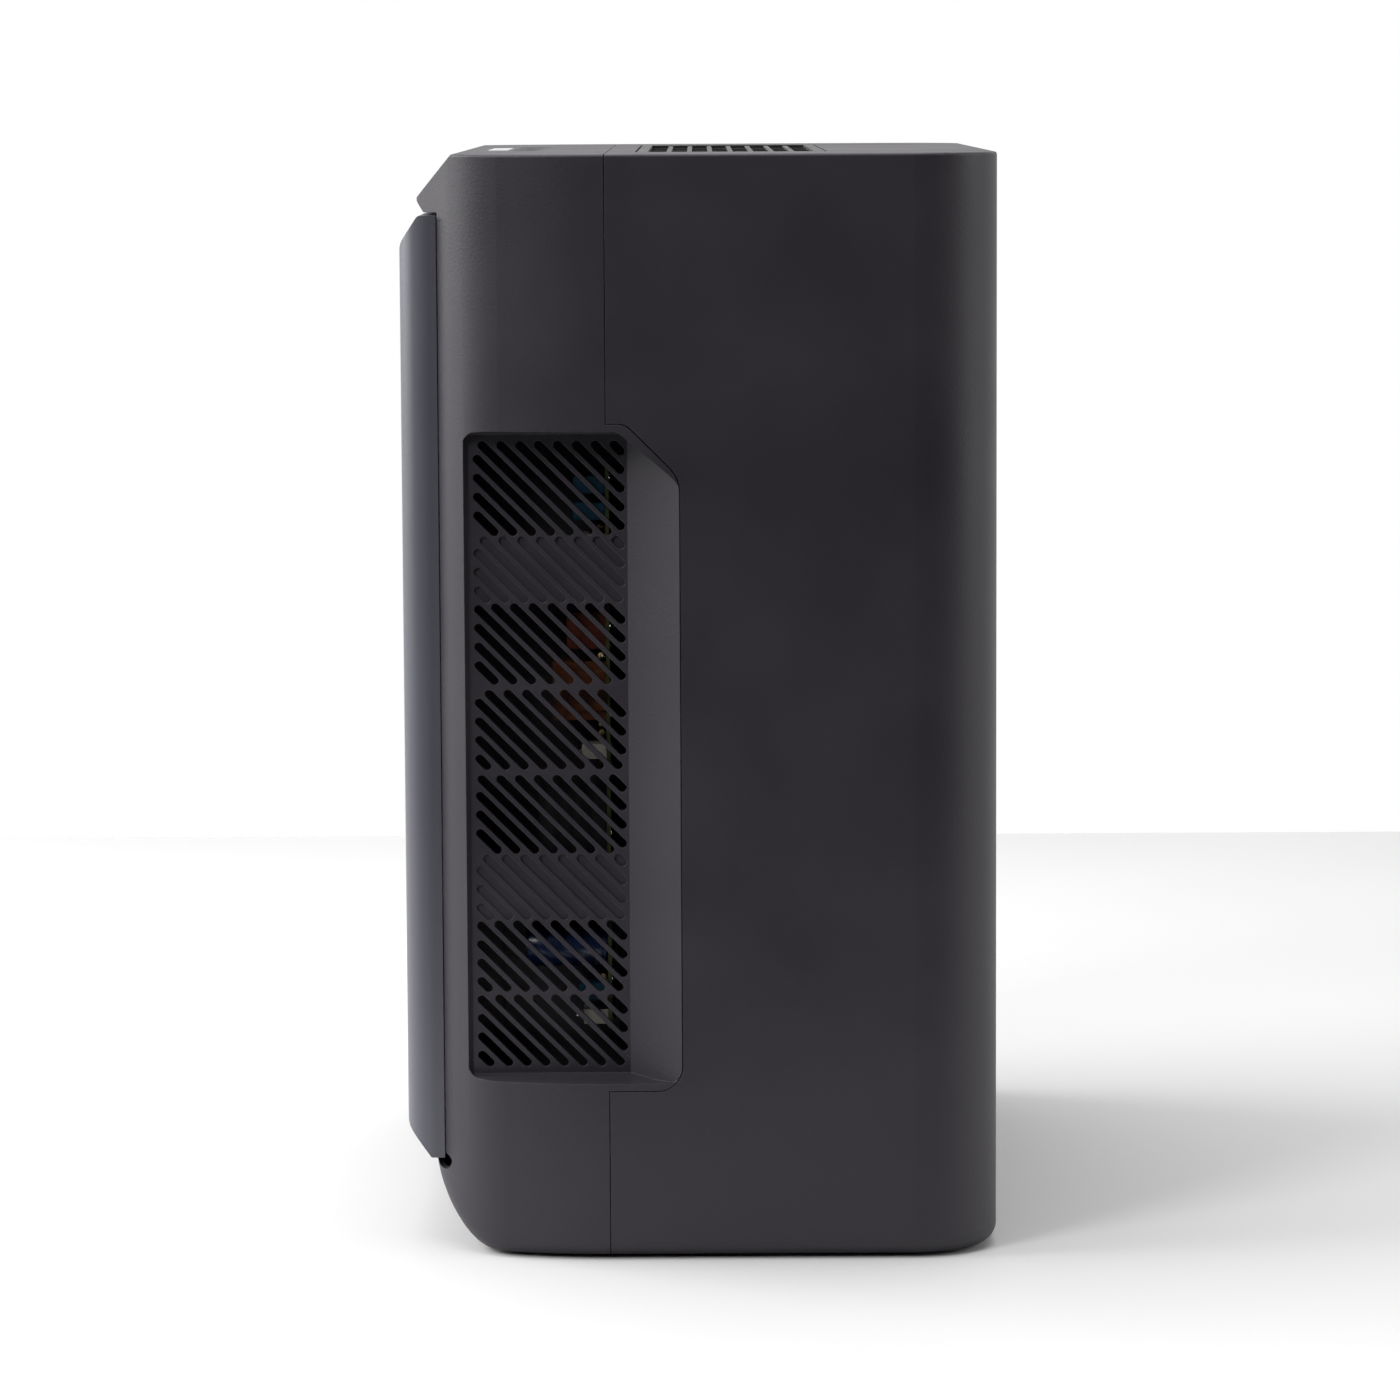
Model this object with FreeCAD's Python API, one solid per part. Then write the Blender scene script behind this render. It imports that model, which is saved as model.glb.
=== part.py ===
import FreeCAD, Part
import math
import os
from FreeCAD import Vector

os.makedirs("parts", exist_ok=True)

# Room air purifier, millimetres. +Z is up, the front looks along -Y, and the origin is the middle of
# the footprint, on the surface that the feet stand on.

# Cabinet, overall
width = 390.0
depth = 245.0
height = 453.0
wall = 3.0
base_gap = 1.0            # cabinet floor above the surface
slip = 0.3                # clearance between pieces that only meet
parting = 0.4             # gap of the line between the front and rear shells

# Cabinet, plan and edges
panel_depth = 16.0        # front panel, from its face to the shell behind it
chin_setback = 11.5       # front shell's face under the panel, from the panel's face
brow_setback = 7.0        # brow over the panel, from the panel's face
seam_setback = 84.5       # parting line, from the panel's face
corner_setback = 41.0     # start of the tight front corner, from the panel's face
bow_radius = 150.0        # gentle bow of the front shell's sides
rear_corner_radius = 35.0
front_sole_radius = 39.0  # front lower edge
rear_sole_radius = 8.0    # side and rear lower edges
top_edge_radius = 1.2
brow_slope_depth = 15.3
brow_slope_height = 18.0
brow_tangent_angle = math.radians(55.0)
brow_corner_radius = 20.0
seat_top_drop = 23.7      # top of the panel's seat, below the cabinet's top
seat_bottom = 37.0
cove_radius = 3.5         # finger cove under the panel's lower edge

# Side vents
vent_front = 25.8         # from the panel's face
vent_crease = 93.2        # where the flat floor turns into the ramp
vent_rear = 111.5
vent_bottom = 73.5
vent_top_drop = 112.0
vent_sink = 17.0          # flat floor, below the cabinet's widest side
vent_radius = 7.0
vent_rear_cut = 22.0      # slanted upper rear corner
vent_draft = 0.2          # slope of the recess's upper and lower walls
vent_front_slope = 0.7    # slope of its front wall
slot_width = 3.55
slot_pitch = 7.7
slot_margin = 4.4         # slot field inside the vent
slot_bands = ((39.0, True), (27.5, False), (33.6, True), (2.0, None), (33.2, True), (2.0, None),
              (32.8, True), (27.5, False), (29.9, True), (1.0, None), (30.2, True))
blind_depth = 1.0
tab_margin = 3.0          # rear shell's cut-out round the vent

# Front panel
panel_wall = 2.5
panel_corner_radius = 12.0
panel_top_bevel = (8.0, 12.0)
panel_bottom_bevel = (10.0, 13.0)
panel_bevel_radius = 9.0
magnet_radius = 5.0
magnet_length = 3.0
keeper_thickness = 1.1
peg_radius = 3.0

# Filters and their tub
side_chamber = 50.0       # between the cabinet's side and the tub
tub_wall = 2.5
tub_foot_gap = 12.5       # filter opening above the panel seat's lower edge
filter_slip = 0.5
prefilter_depth = 5.0
carbon_depth = 10.0
hepa_depth = 31.0
gasket_depth = 2.5
filter_frame = 6.0
mesh_bar = 1.6
mesh_pitch = 14.0
pleat_pitch = 7.0
pleat_thickness = 0.9

# Fan
fan_z = 190.0
impeller_radius = 96.0
impeller_eye = 76.0
blade_count = 36
blade_thickness = 1.6
scroll_radius = 106.0
scroll_growth = 12.0
scroll_wall = 2.5
scroll_depth = 82.0
scroll_setback = 12.0     # scroll's front, behind the parting line
outlet_half = 130.0
collar_radius = 98.0
shaft_radius = 4.0
shaft_fit = 0.03
motor_radius = 38.0
motor_length = 40.0
bearing_radius = 8.0

# Outlet
grille_half = 126.0
grille_front = 15.0       # behind the parting line
grille_depth = 74.0
grille_flange = 3.0
grille_thickness = 1.6
slat_height = 13.0
slat_thickness = 2.0
slat_pitch = 8.2

# Controls
button_radius = 7.0
button_pitch = 40.0
button_setback = 50.0     # from the panel's face
button_travel = 0.8
button_sink = 0.2         # key's top below the cabinet's
switch_height = 4.0
board_thickness = 1.6
control_drop = 13.0       # control board's underside, below the cabinet's top
lens_half = 45.0
lens_depth = 9.0
lens_setback = 32.0

# Screws, feet, grip, inlet
screw_radius = 1.5
screw_fit = 0.05
boss_radius = 5.5
driver_radius = 3.8
shell_screw_inset = 10.0  # from the rounded rear corner
foot_radius = 12.0
foot_height = 3.0
foot_x = 140.0
foot_inset_front = 64.0
foot_inset_rear = 38.0
grip_half = 55.0
grip_height = 32.0
grip_depth = 28.0
grip_drop = 26.0
inlet_x = 140.0
inlet_z = 46.0
inlet_size = (28.0, 20.0)
inlet_length = 22.0
pin_radius = 1.1
pin_spread = 4.3          # each pin, from the inlet's middle

# Power board in the right-hand side chamber
power_board_bottom = 93.0
power_board_height = 232.0
power_board_width = 24.0
carrier_thickness = 2.0
screen_reach = 60.0       # carrier plate, behind the parting line
screen_margin = 40.0      # carrier plate, past each end of the board
lead_radius = 2.4

half = width / 2
front = -depth / 2
rear = depth / 2
joint_y = front + panel_depth
chin_y = front + chin_setback
brow_y = front + brow_setback
seam_y = front + seam_setback
corner_y = front + corner_setback
seat_top = height - seat_top_drop
vent_top = height - vent_top_drop
tub_half = half - side_chamber
tub_bottom = seat_bottom + tub_foot_gap - tub_wall
tub_top = seat_top - tub_foot_gap + tub_wall
tub_front = joint_y + wall + slip
prefilter_front = tub_front + 2.0
carbon_front = prefilter_front + prefilter_depth + filter_slip
hepa_front = carbon_front + carbon_depth + filter_slip
gasket_front = hepa_front + hepa_depth
tub_back = gasket_front + gasket_depth
scroll_front = seam_y + scroll_setback
scroll_back = scroll_front + scroll_depth
grille_y = seam_y + grille_front
motor_front = scroll_back + slip + 2.0
button_y = front + button_setback
control_top = height - control_drop + board_thickness
board_y = seam_y - 0.5


def at(plane, a, b, c):
    """Point from two coordinates in a plane and one across it."""
    return {"xy": Vector(a, b, c), "xz": Vector(a, c, b), "yz": Vector(c, a, b)}[plane]


def outline(plane, corners, across=0.0):
    """Closed wire through corners (a, b) or (a, b, radius), rounded where a radius is given."""
    flat = [Vector(c[0], c[1], 0) for c in corners]
    radii = [c[2] if len(c) > 2 else 0.0 for c in corners]
    edges = []
    ends = []
    for i, corner in enumerate(flat):
        back = (flat[i - 1] - corner).normalize()
        ahead = (flat[(i + 1) % len(flat)] - corner).normalize()
        if radii[i] <= 0:
            ends.append((corner, None, corner))
            continue
        half_angle = back.getAngle(ahead) / 2
        reach = radii[i] / math.tan(half_angle)
        middle = (back + ahead).normalize()
        centre = corner + middle * (radii[i] / math.sin(half_angle))
        ends.append((corner + back * reach, centre - middle * radii[i], corner + ahead * reach))
    for i, (start, mid, end) in enumerate(ends):
        if mid is not None:
            edges.append(Part.Arc(*[at(plane, p.x, p.y, across) for p in (start, mid, end)]).toShape())
        following = ends[(i + 1) % len(ends)][0]
        if end.distanceToPoint(following) > 1e-6:
            edges.append(Part.makeLine(at(plane, end.x, end.y, across),
                                       at(plane, following.x, following.y, across)))
    return Part.Wire(Part.__sortEdges__(edges))


def prism(plane, corners, start, end):
    """Solid between two places across a plane, with the outline of the corners."""
    face = Part.Face(outline(plane, corners, start))
    return face.extrude(at(plane, 0, 0, end - start))


def block(x0, x1, y0, y1, z0, z1):
    return Part.makeBox(x1 - x0, y1 - y0, z1 - z0, Vector(x0, y0, z0))


def rod(plane, a, b, start, end, radius):
    """Round bar across a plane."""
    return Part.makeCylinder(radius, end - start, at(plane, a, b, start), at(plane, 0, 0, 1))


def pipe(plane, a, b, start, end, outer, inner):
    return rod(plane, a, b, start, end, outer).cut(rod(plane, a, b, start - 1, end + 1, inner))


def mirrored(shape):
    return shape.mirror(Vector(0, 0, 0), Vector(1, 0, 0))


def fused(shapes):
    return shapes[0].multiFuse(shapes[1:]).removeSplitter()


def arc(centre, radius, start, end, z):
    points = []
    for angle in (start, (start + end) / 2, end):
        points.append(Vector(centre[0] + radius * math.cos(angle), centre[1] + radius * math.sin(angle), z))
    return Part.Arc(*points).toShape(), points[0], points[2]


def cabinet_plan(inset, z):
    """Plan outline: flat rear, bowed sides ahead of the seam and tight front corners."""
    bow_turn = math.asin((seam_y - corner_y) / bow_radius)
    bow_centre = (half - bow_radius, seam_y)
    tight = (corner_y - chin_y) / (1 - math.sin(bow_turn))
    reach = bow_radius - tight
    tight_centre = (bow_centre[0] + reach * math.cos(bow_turn), bow_centre[1] - reach * math.sin(bow_turn))
    rear_centre = (half - rear_corner_radius, rear - rear_corner_radius)
    turn, rear_end, side_start = arc(rear_centre, rear_corner_radius - inset, math.pi / 2, 0, z)
    bow, bow_start, _ = arc(bow_centre, bow_radius - inset, 0, -bow_turn, z)
    corner, _, front_end = arc(tight_centre, tight - inset, -bow_turn, -math.pi / 2, z)
    right = [turn, Part.makeLine(side_start, bow_start), bow, corner]
    left = [mirrored(edge) for edge in right]
    front_line = Part.makeLine(front_end, Vector(-front_end.x, front_end.y, z))
    rear_line = Part.makeLine(Vector(-rear_end.x, rear_end.y, z), rear_end)
    return Part.Wire(Part.__sortEdges__(right + left + [front_line, rear_line]))


def sole_radius(y, inset):
    """Lower edge radius: small along the sides, growing round the front corners to the large front one."""
    share = min(1.0, max(0.0, (corner_y - y) / (corner_y - chin_y)))
    return rear_sole_radius + (front_sole_radius - rear_sole_radius) * share - inset


def cabinet_block(inset):
    """The whole cabinet as one solid, shrunk by an inset on every side."""
    floor = base_gap + inset
    solid = Part.Face(cabinet_plan(inset, floor)).extrude(Vector(0, 0, height - inset - floor))
    document = FreeCAD.newDocument()
    base = document.addObject("Part::Feature")
    base.Shape = solid
    fillet = document.addObject("Part::Fillet")
    fillet.Base = base
    edges = []
    for number, edge in enumerate(solid.Edges, 1):
        if edge.BoundBox.ZMax > floor + 0.001:
            continue
        ends = [edge.valueAt(edge.FirstParameter), edge.valueAt(edge.LastParameter)]
        edges.append((number, sole_radius(ends[0].y, inset), sole_radius(ends[1].y, inset)))
    fillet.Edges = edges
    document.recompute()
    result = fillet.Shape.copy()
    FreeCAD.closeDocument(document.Name)
    return result


def brow():
    """Lip that overhangs the panel's top edge, in line with the front corners."""
    bow_turn = math.asin((seam_y - corner_y) / bow_radius)
    tight = (corner_y - chin_y) / (1 - math.sin(bow_turn))
    reach = bow_radius - tight
    centre_x = half - bow_radius + reach * math.cos(bow_turn)
    centre_y = seam_y - reach * math.sin(bow_turn)
    start_x = centre_x + tight * math.cos(brow_tangent_angle)
    start_y = centre_y - tight * math.sin(brow_tangent_angle)
    tip_x = start_x - (start_y - brow_y) * math.tan(brow_tangent_angle)
    corners = [(start_x, start_y), (tip_x, brow_y, brow_corner_radius),
               (-tip_x, brow_y, brow_corner_radius), (-start_x, start_y)]
    return prism("xy", corners, seat_top - wall, height)


def brow_slope(inset):
    """Wedge cut off the top front edge."""
    along = Vector(-brow_slope_depth, -brow_slope_height, 0).normalize()
    inward = Vector(-along.y, along.x, 0)
    high = Vector(brow_y + brow_slope_depth, height, 0) + inward * inset
    low = Vector(brow_y, height - brow_slope_height, 0) + inward * inset
    beyond = 2 * panel_depth + brow_slope_depth
    corners = [high - along * beyond, low + along * beyond]
    corners += [corners[1] - inward * beyond, corners[0] - inward * beyond]
    return prism("yz", [(p.x, p.y) for p in corners], -width, width)


def panel_seat(grow):
    """Space in front of the shell for the panel, with the undercut below the brow."""
    undercut = 3.2
    tip = height - brow_slope_height - 1.0
    corners = [(front - panel_depth, tip + grow), (brow_y, tip + grow),
               (brow_y + undercut, seat_top + grow),
               (joint_y + grow, seat_top + grow), (joint_y + grow, seat_bottom - grow),
               (front - panel_depth, seat_bottom - grow)]
    return prism("yz", corners, -width, width)


def vent_corners(grow):
    """Side vent's outline, front edge first, in the YZ plane."""
    y0 = front + vent_front - grow
    y1 = front + vent_rear + grow
    z0 = vent_bottom - grow
    z1 = vent_top + grow
    radius = vent_radius + grow
    return [(y0, z0, radius), (y1, z0, radius), (y1, z1 - vent_rear_cut, 2 * vent_radius),
            (y1 - vent_rear_cut, z1, vent_radius), (y0, z1, radius)]


def vent_profile(floor_x, crease, end):
    """Everything outside the recess's flat floor, its front wall and its ramp, in plan."""
    face = front + vent_front + vent_front_slope * vent_radius / 2
    reach = width - floor_x
    return [(floor_x, face), (floor_x, crease), (half, end), (width, end),
            (width, face - vent_front_slope * reach)]


def vent_pocket():
    """Right-hand recess: a flat floor, and a ramp that runs out at the parting line."""
    floor_x = half - vent_sink
    end = front + vent_rear + tab_margin
    plan = prism("xy", vent_profile(floor_x, front + vent_crease, end), 0, height)
    spread = vent_draft * (width - floor_x)
    lift = vent_draft * vent_sink / 2
    z0 = vent_bottom + lift
    z1 = vent_top - lift
    walls = prism("xz", [(floor_x, z0), (width, z0 - spread), (width, z1 + spread), (floor_x, z1)],
                  -depth, depth)
    outline_corners = vent_corners(0)
    for i in (1, 2):
        outline_corners[i] = (end + 1.0,) + outline_corners[i][1:]
    return prism("yz", outline_corners, floor_x - 1, width).common(plan).common(walls)


def vent_backing():
    """Room that the recess's own wall takes inside the shell."""
    floor_x = half - vent_sink - wall
    end = front + vent_rear + tab_margin
    plan = prism("xy", [(floor_x, front), (floor_x, front + vent_crease - wall / 2),
                        (half - wall, end + wall / 2),
                        (width, end + wall / 2), (width, front)], 0, height)
    return prism("yz", vent_corners(tab_margin), floor_x, width).common(plan)


def slot(y0, y1, total):
    """Slanting slot, its middle line at y + z = total, square to the side."""
    radius = slot_width / 2
    step = radius / math.sqrt(2)
    ends = [(y0, total - y0), (y1, total - y1)]
    points = [(ends[0][0] + step, ends[0][1] + step), (ends[1][0] + step, ends[1][1] + step),
              (ends[1][0] + radius / math.sqrt(2), ends[1][1] - radius / math.sqrt(2)),
              (ends[1][0] - step, ends[1][1] - step), (ends[0][0] - step, ends[0][1] - step),
              (ends[0][0] - radius / math.sqrt(2), ends[0][1] + radius / math.sqrt(2))]
    p = [at("yz", a, b, half / 2) for a, b in points]
    edges = [Part.makeLine(p[0], p[1]), Part.Arc(p[1], p[2], p[3]).toShape(),
             Part.makeLine(p[3], p[4]), Part.Arc(p[4], p[5], p[0]).toShape()]
    return Part.Face(Part.Wire(edges)).extrude(Vector(half, 0, 0))


def slots(through):
    """Slots of the open bands, or of the blind ones."""
    made = []
    y_low = front + vent_front + slot_margin + slot_width / 2
    y_high = front + vent_crease - 1.0 - slot_width / 2
    top = vent_top - slot_margin
    for band, kind in slot_bands:
        bottom = top - band
        if kind is through:
            z_low = bottom + slot_width / 2
            z_high = top - slot_width / 2
            first = math.ceil((y_low + z_low) / slot_pitch)
            last = math.floor((y_high + z_high) / slot_pitch)
            for number in range(first, last + 1):
                total = number * slot_pitch
                y0 = max(y_low, total - z_high)
                y1 = min(y_high, total - z_low)
                if y1 - y0 > slot_width / 4:
                    made.append(slot(y0, y1, total))
        top = bottom
    return Part.makeCompound(made)


def front_zone(gap):
    """Everything ahead of the parting line, with the tab round each side vent."""
    tab = tab_margin - gap
    corners = vent_corners(tab)
    corners[0] = (seam_y - 20, corners[0][1])
    corners[4] = (seam_y - 20, corners[4][1])
    ahead = block(-width, width, front - panel_depth, seam_y - gap, -height, 2 * height)
    return ahead.fuse(prism("yz", corners, -width, width))


def hidden_tower(x, z):
    """Rear shell's tower for a driver, with the screw's seat at its front end."""
    tower = rod("xz", x, z, seam_y + slip, rear - wall / 2, boss_radius)
    tower = tower.cut(rod("xz", x, z, seam_y + slip + wall, rear + wall, driver_radius))
    return tower.cut(rod("xz", x, z, seam_y - wall, rear, screw_radius + 0.3))


def shell_screw_places():
    side_x = half - rear_corner_radius - shell_screw_inset
    return [(side_x, 20.0), (-side_x, 20.0), (side_x, height - 23.0), (-side_x, height - 23.0),
            (70.0, 14.0), (-70.0, 14.0)]


def gusset(x, z, y0, y1):
    """Web from a boss to the nearest wall."""
    if abs(x) > half / 2:
        reach = math.copysign(half - 1.0, x)
        return block(min(x, reach), max(x, reach), y0, y1, z - 1.0, z + 1.0)
    return block(x - 1.0, x + 1.0, y0, y1, base_gap + 1.0, z)


def foot_places(ahead):
    y = front + foot_inset_front if ahead else rear - foot_inset_rear
    return [(foot_x, y), (-foot_x, y)]


def foot_socket(shell, ahead):
    """Round sockets in the floor, thickened inside."""
    for x, y in foot_places(ahead):
        pad = rod("xy", x, y, base_gap + 1.0, foot_height + 3.0, foot_radius + wall)
        hole = rod("xy", x, y, 0, foot_height + 0.1, foot_radius + 0.1)
        shell = shell.fuse(pad).cut(hole)
    return shell


def cabinet():
    """Front and rear shells, still without their inside bosses."""
    outer = cabinet_block(0).fuse(brow()).removeSplitter()
    outer = outer.cut(brow_slope(0))
    rim = [e for e in outer.Edges if e.BoundBox.ZMin > height - 0.001]
    outer = outer.makeFillet(top_edge_radius, rim)
    outer = outer.cut(panel_seat(0))
    outer = outer.cut(rod("yz", joint_y - 0.7, seat_bottom - 0.5, -width, width, cove_radius))
    hollow = cabinet_block(wall).cut(brow_slope(wall)).cut(panel_seat(wall))
    pocket = vent_pocket()
    backing = vent_backing()
    outer = outer.cut(pocket).cut(mirrored(pocket))
    hollow = hollow.cut(backing).cut(mirrored(backing))
    shell = outer.cut(hollow)
    return shell.common(front_zone(0)), shell.cut(front_zone(-parting))


def with_slots(shell):
    """Cuts the vent's slots through one half of the shell and joins it to its mirror image."""
    right = shell.common(block(0, width, -width, width, -height, 2 * height))
    floor_x = half - vent_sink
    grooves = slots(False).common(block(floor_x - blind_depth, width, -width, width, 0, height))
    right = right.cut(slots(True)).cut(grooves)
    return right.fuse(mirrored(right)).removeSplitter()


def bay_opening():
    return prism("xz", [(tub_half + 13, tub_bottom + tub_wall, 8), (tub_half + 13, tub_top - tub_wall, 8),
                        (-tub_half - 13, tub_top - tub_wall, 8),
                        (-tub_half - 13, tub_bottom + tub_wall, 8)],
                 joint_y - 1, joint_y + wall + 1)


def tub_screw_places():
    inset = 6.0
    return [(x, z) for x in (-120.0, 120.0) for z in (tub_bottom - inset, tub_top + inset)]


def magnet_places():
    return [(x, z) for x in (-110.0, 110.0) for z in (seat_bottom + 6.3, seat_top - 6.3)]


def peg_places():
    return [(x, seat_bottom + 6.5) for x in (-60.0, 60.0)]


def control_post_places():
    return [(x, y) for x in (-80.0, 80.0) for y in (front + 32.0, front + 68.0)]


def button_places():
    return [((i - 1.5) * button_pitch, button_y) for i in range(4)]


def finish_front_shell(shell):
    shell = shell.cut(bay_opening())
    inside = cabinet_block(wall / 2)
    for x, z in shell_screw_places():
        boss = rod("xz", x, z, seam_y - 22, seam_y - slip, boss_radius)
        boss = boss.fuse(gusset(x, z, seam_y - 22, seam_y - slip)).common(inside)
        shell = shell.fuse(boss).cut(rod("xz", x, z, seam_y - 18, seam_y, screw_radius + screw_fit))
    for x, z in tub_screw_places():
        boss = rod("xz", x, z, joint_y + wall / 2, joint_y + wall + 13, 3.5)
        shell = shell.fuse(boss).cut(rod("xz", x, z, joint_y + wall + 2, joint_y + wall + 14,
                                         screw_radius + screw_fit))
    for x, z in magnet_places():
        shell = shell.cut(rod("xz", x, z, joint_y - 1, joint_y + 1.2, magnet_radius + 0.1))
    for x, z in peg_places():
        shell = shell.cut(rod("xz", x, z, joint_y - 1, joint_y + wall + 1, peg_radius + slip))
    for x, y in control_post_places():
        post = rod("xy", x, y, control_top + slip, height - wall / 2, 3.5)
        shell = shell.fuse(post).cut(rod("xy", x, y, control_top, height - wall, screw_radius + screw_fit))
    for x, y in button_places():
        shell = shell.cut(rod("xy", x, y, height - 2 * wall, height + 1, button_radius + slip))
    lens_y = front + lens_setback
    shell = shell.cut(block(-lens_half, lens_half, lens_y, lens_y + lens_depth, height - 2.0, height + 1))
    shell = shell.cut(block(2 - lens_half, lens_half - 2, lens_y + 2, lens_y + lens_depth - 2,
                            height - 5, height))
    return with_slots(foot_socket(shell, True).removeSplitter())


def grip_box(grow):
    z1 = height - grip_drop + grow
    z0 = height - grip_drop - grip_height - grow
    w = grip_half + grow
    return prism("xz", [(-w, z0, 8), (w, z0, 8), (w, z1, 8), (-w, z1, 8)], rear - grip_depth - grow,
                 rear + wall - grow)


def scroll_post_places():
    return [(75.0, fan_z - 75), (-75.0, fan_z - 75), (112.0, height - 60), (-112.0, height - 60)]


def finish_rear_shell(shell):
    inside = cabinet_block(wall / 2)
    for x, z in shell_screw_places():
        web = gusset(x, z, seam_y + slip, rear - wall / 2)
        shell = shell.fuse(hidden_tower(x, z).fuse(web.cut(rod("xz", x, z, seam_y, rear,
                                                               boss_radius - 1))).common(inside))
        shell = shell.cut(rod("xz", x, z, seam_y + slip + wall, rear + wall, driver_radius))
    for x, z in scroll_post_places():
        post = rod("xz", x, z, scroll_back + slip, rear - wall / 2, 5.0)
        shell = shell.fuse(post).cut(rod("xz", x, z, scroll_back, scroll_back + 14,
                                         screw_radius + screw_fit))
    shell = shell.fuse(grip_box(wall).common(inside)).cut(grip_box(0))
    opening = block(-grille_half, grille_half, grille_y, grille_y + grille_depth, height - 2 * wall,
                    height + 1)
    rebate = block(-grille_half - grille_flange, grille_half + grille_flange, grille_y - grille_flange,
                   grille_y + grille_depth + grille_flange, height - grille_thickness, height + 1)
    shell = shell.cut(opening).cut(rebate)
    w, h = inlet_size
    shell = shell.cut(block(inlet_x - w / 2, inlet_x + w / 2, rear - 2 * wall, rear + 1,
                            inlet_z - h / 2, inlet_z + h / 2))
    return foot_socket(shell, False).removeSplitter()


def panel_side_corners(inset):
    """Front panel's section: bevelled top and bottom edges."""
    top = seat_top - 1.2 - inset
    bottom = seat_bottom + 0.8 + inset
    face = front + inset
    back = joint_y - parting + (1.0 if inset else 0.0)
    ty, tz = panel_top_bevel
    by, bz = panel_bottom_bevel
    return [(back, bottom), (front + by + inset / 2, bottom, 1.0), (face, bottom + bz, panel_bevel_radius),
            (face, top - tz, panel_bevel_radius), (front + ty, top, 2.5), (back, top)]


def panel_half():
    """Half width of the panel, a hair inside the shell behind it."""
    bow_turn = math.asin((seam_y - corner_y) / bow_radius)
    tight = (corner_y - chin_y) / (1 - math.sin(bow_turn))
    reach = bow_radius - tight
    centre_x = half - bow_radius + reach * math.cos(bow_turn)
    centre_y = seam_y - reach * math.sin(bow_turn)
    return centre_x + math.sqrt(tight ** 2 - (centre_y - joint_y) ** 2) - 0.4


def panel_form(inset):
    side = prism("yz", panel_side_corners(inset), -width, width)
    w = panel_half() - inset
    face = front + inset
    radius = panel_corner_radius - inset
    plan = prism("xy", [(w, joint_y + 1), (w, face, radius), (-w, face, radius), (-w, joint_y + 1)], 0,
                 height)
    return side.common(plan)


def front_panel():
    """Hollow cover with magnet cups and locating pegs on its back."""
    panel = panel_form(0).cut(panel_form(panel_wall))
    back = joint_y - parting
    for x, z in magnet_places():
        cup = rod("xz", x, z, front + panel_wall / 2, back, magnet_radius + 2)
        panel = panel.fuse(cup.common(panel_form(panel_wall / 2)))
        panel = panel.cut(rod("xz", x, z, back - magnet_length - 0.1, back + 1, magnet_radius + 0.1))
    for x, z in peg_places():
        root = rod("xz", x, z, front + panel_wall / 2, back, peg_radius).common(panel_form(panel_wall / 2))
        panel = panel.fuse(root).fuse(rod("xz", x, z, back - panel_wall, joint_y + 2.0, peg_radius))
    return panel.removeSplitter()


def panel_magnets():
    back = joint_y - parting
    return Part.makeCompound([rod("xz", x, z, back - magnet_length, back, magnet_radius)
                              for x, z in magnet_places()])


def keeper_plates():
    return Part.makeCompound([rod("xz", x, z, joint_y, joint_y + keeper_thickness, magnet_radius)
                              for x, z in magnet_places()])


def filter_tub():
    """Open-fronted box that holds the filters, with the fan's inlet in its back."""
    outer = block(-tub_half, tub_half, tub_front, tub_back + tub_wall, tub_bottom, tub_top)
    inner = block(tub_wall - tub_half, tub_half - tub_wall, tub_front - 1, tub_back,
                  tub_bottom + tub_wall, tub_top - tub_wall)
    tub = outer.cut(inner).cut(rod("xz", 0, fan_z, tub_back - 1, tub_back + wall, collar_radius))
    ear_y = joint_y + wall + 13 + slip
    for x, z in tub_screw_places():
        edge = tub_bottom if z < tub_bottom else tub_top
        ear = block(x - 6, x + 6, ear_y, ear_y + 3, min(z - 5, edge), max(z + 5, edge))
        tub = tub.fuse(ear).cut(rod("xz", x, z, ear_y - 1, ear_y + 4, screw_radius + 0.3))
    return tub.removeSplitter()


def filter_size():
    w = tub_half - tub_wall - filter_slip
    return w, tub_bottom + tub_wall + filter_slip, tub_top - tub_wall - filter_slip


def filter_ring(y0, y1, border):
    w, z0, z1 = filter_size()
    return block(-w, w, y0, y1, z0, z1).cut(block(border - w, w - border, y0 - 1, y1 + 1, z0 + border,
                                                  z1 - border))


def prefilter():
    """Washable screen: a frame with a grid of bars."""
    w, z0, z1 = filter_size()
    y0 = prefilter_front
    ring = filter_ring(y0, y0 + prefilter_depth, filter_frame)
    columns = int(2 * w / mesh_pitch)
    rows = int((z1 - z0) / mesh_pitch)
    step_x = (2 * w - 2) / columns
    step_z = (z1 - z0 - 2) / rows
    screen_y = y0 + (prefilter_depth - mesh_bar) / 2
    wires = [outline("xz", [(1 - w, z0 + 1), (w - 1, z0 + 1), (w - 1, z1 - 1), (1 - w, z1 - 1)], screen_y)]
    for i in range(columns):
        for k in range(rows):
            x = 1 - w + (i + 0.5) * step_x
            z = z0 + 1 + (k + 0.5) * step_z
            a = (step_x - mesh_bar) / 2
            b = (step_z - mesh_bar) / 2
            wires.append(outline("xz", [(x - a, z - b), (x + a, z - b), (x + a, z + b), (x - a, z + b)],
                                 screen_y))
    screen = Part.makeFace(wires, "Part::FaceMakerBullseye").extrude(Vector(0, mesh_bar, 0))
    inside = block(filter_frame - w, w - filter_frame, y0, y0 + prefilter_depth, z0 + filter_frame,
                   z1 - filter_frame)
    return ring.fuse(screen.common(inside)).removeSplitter()


def carbon_filter():
    w, z0, z1 = filter_size()
    return block(-w, w, carbon_front, carbon_front + carbon_depth, z0, z1)


def hepa_frame():
    return filter_ring(hepa_front, hepa_front + hepa_depth, filter_frame)


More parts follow.
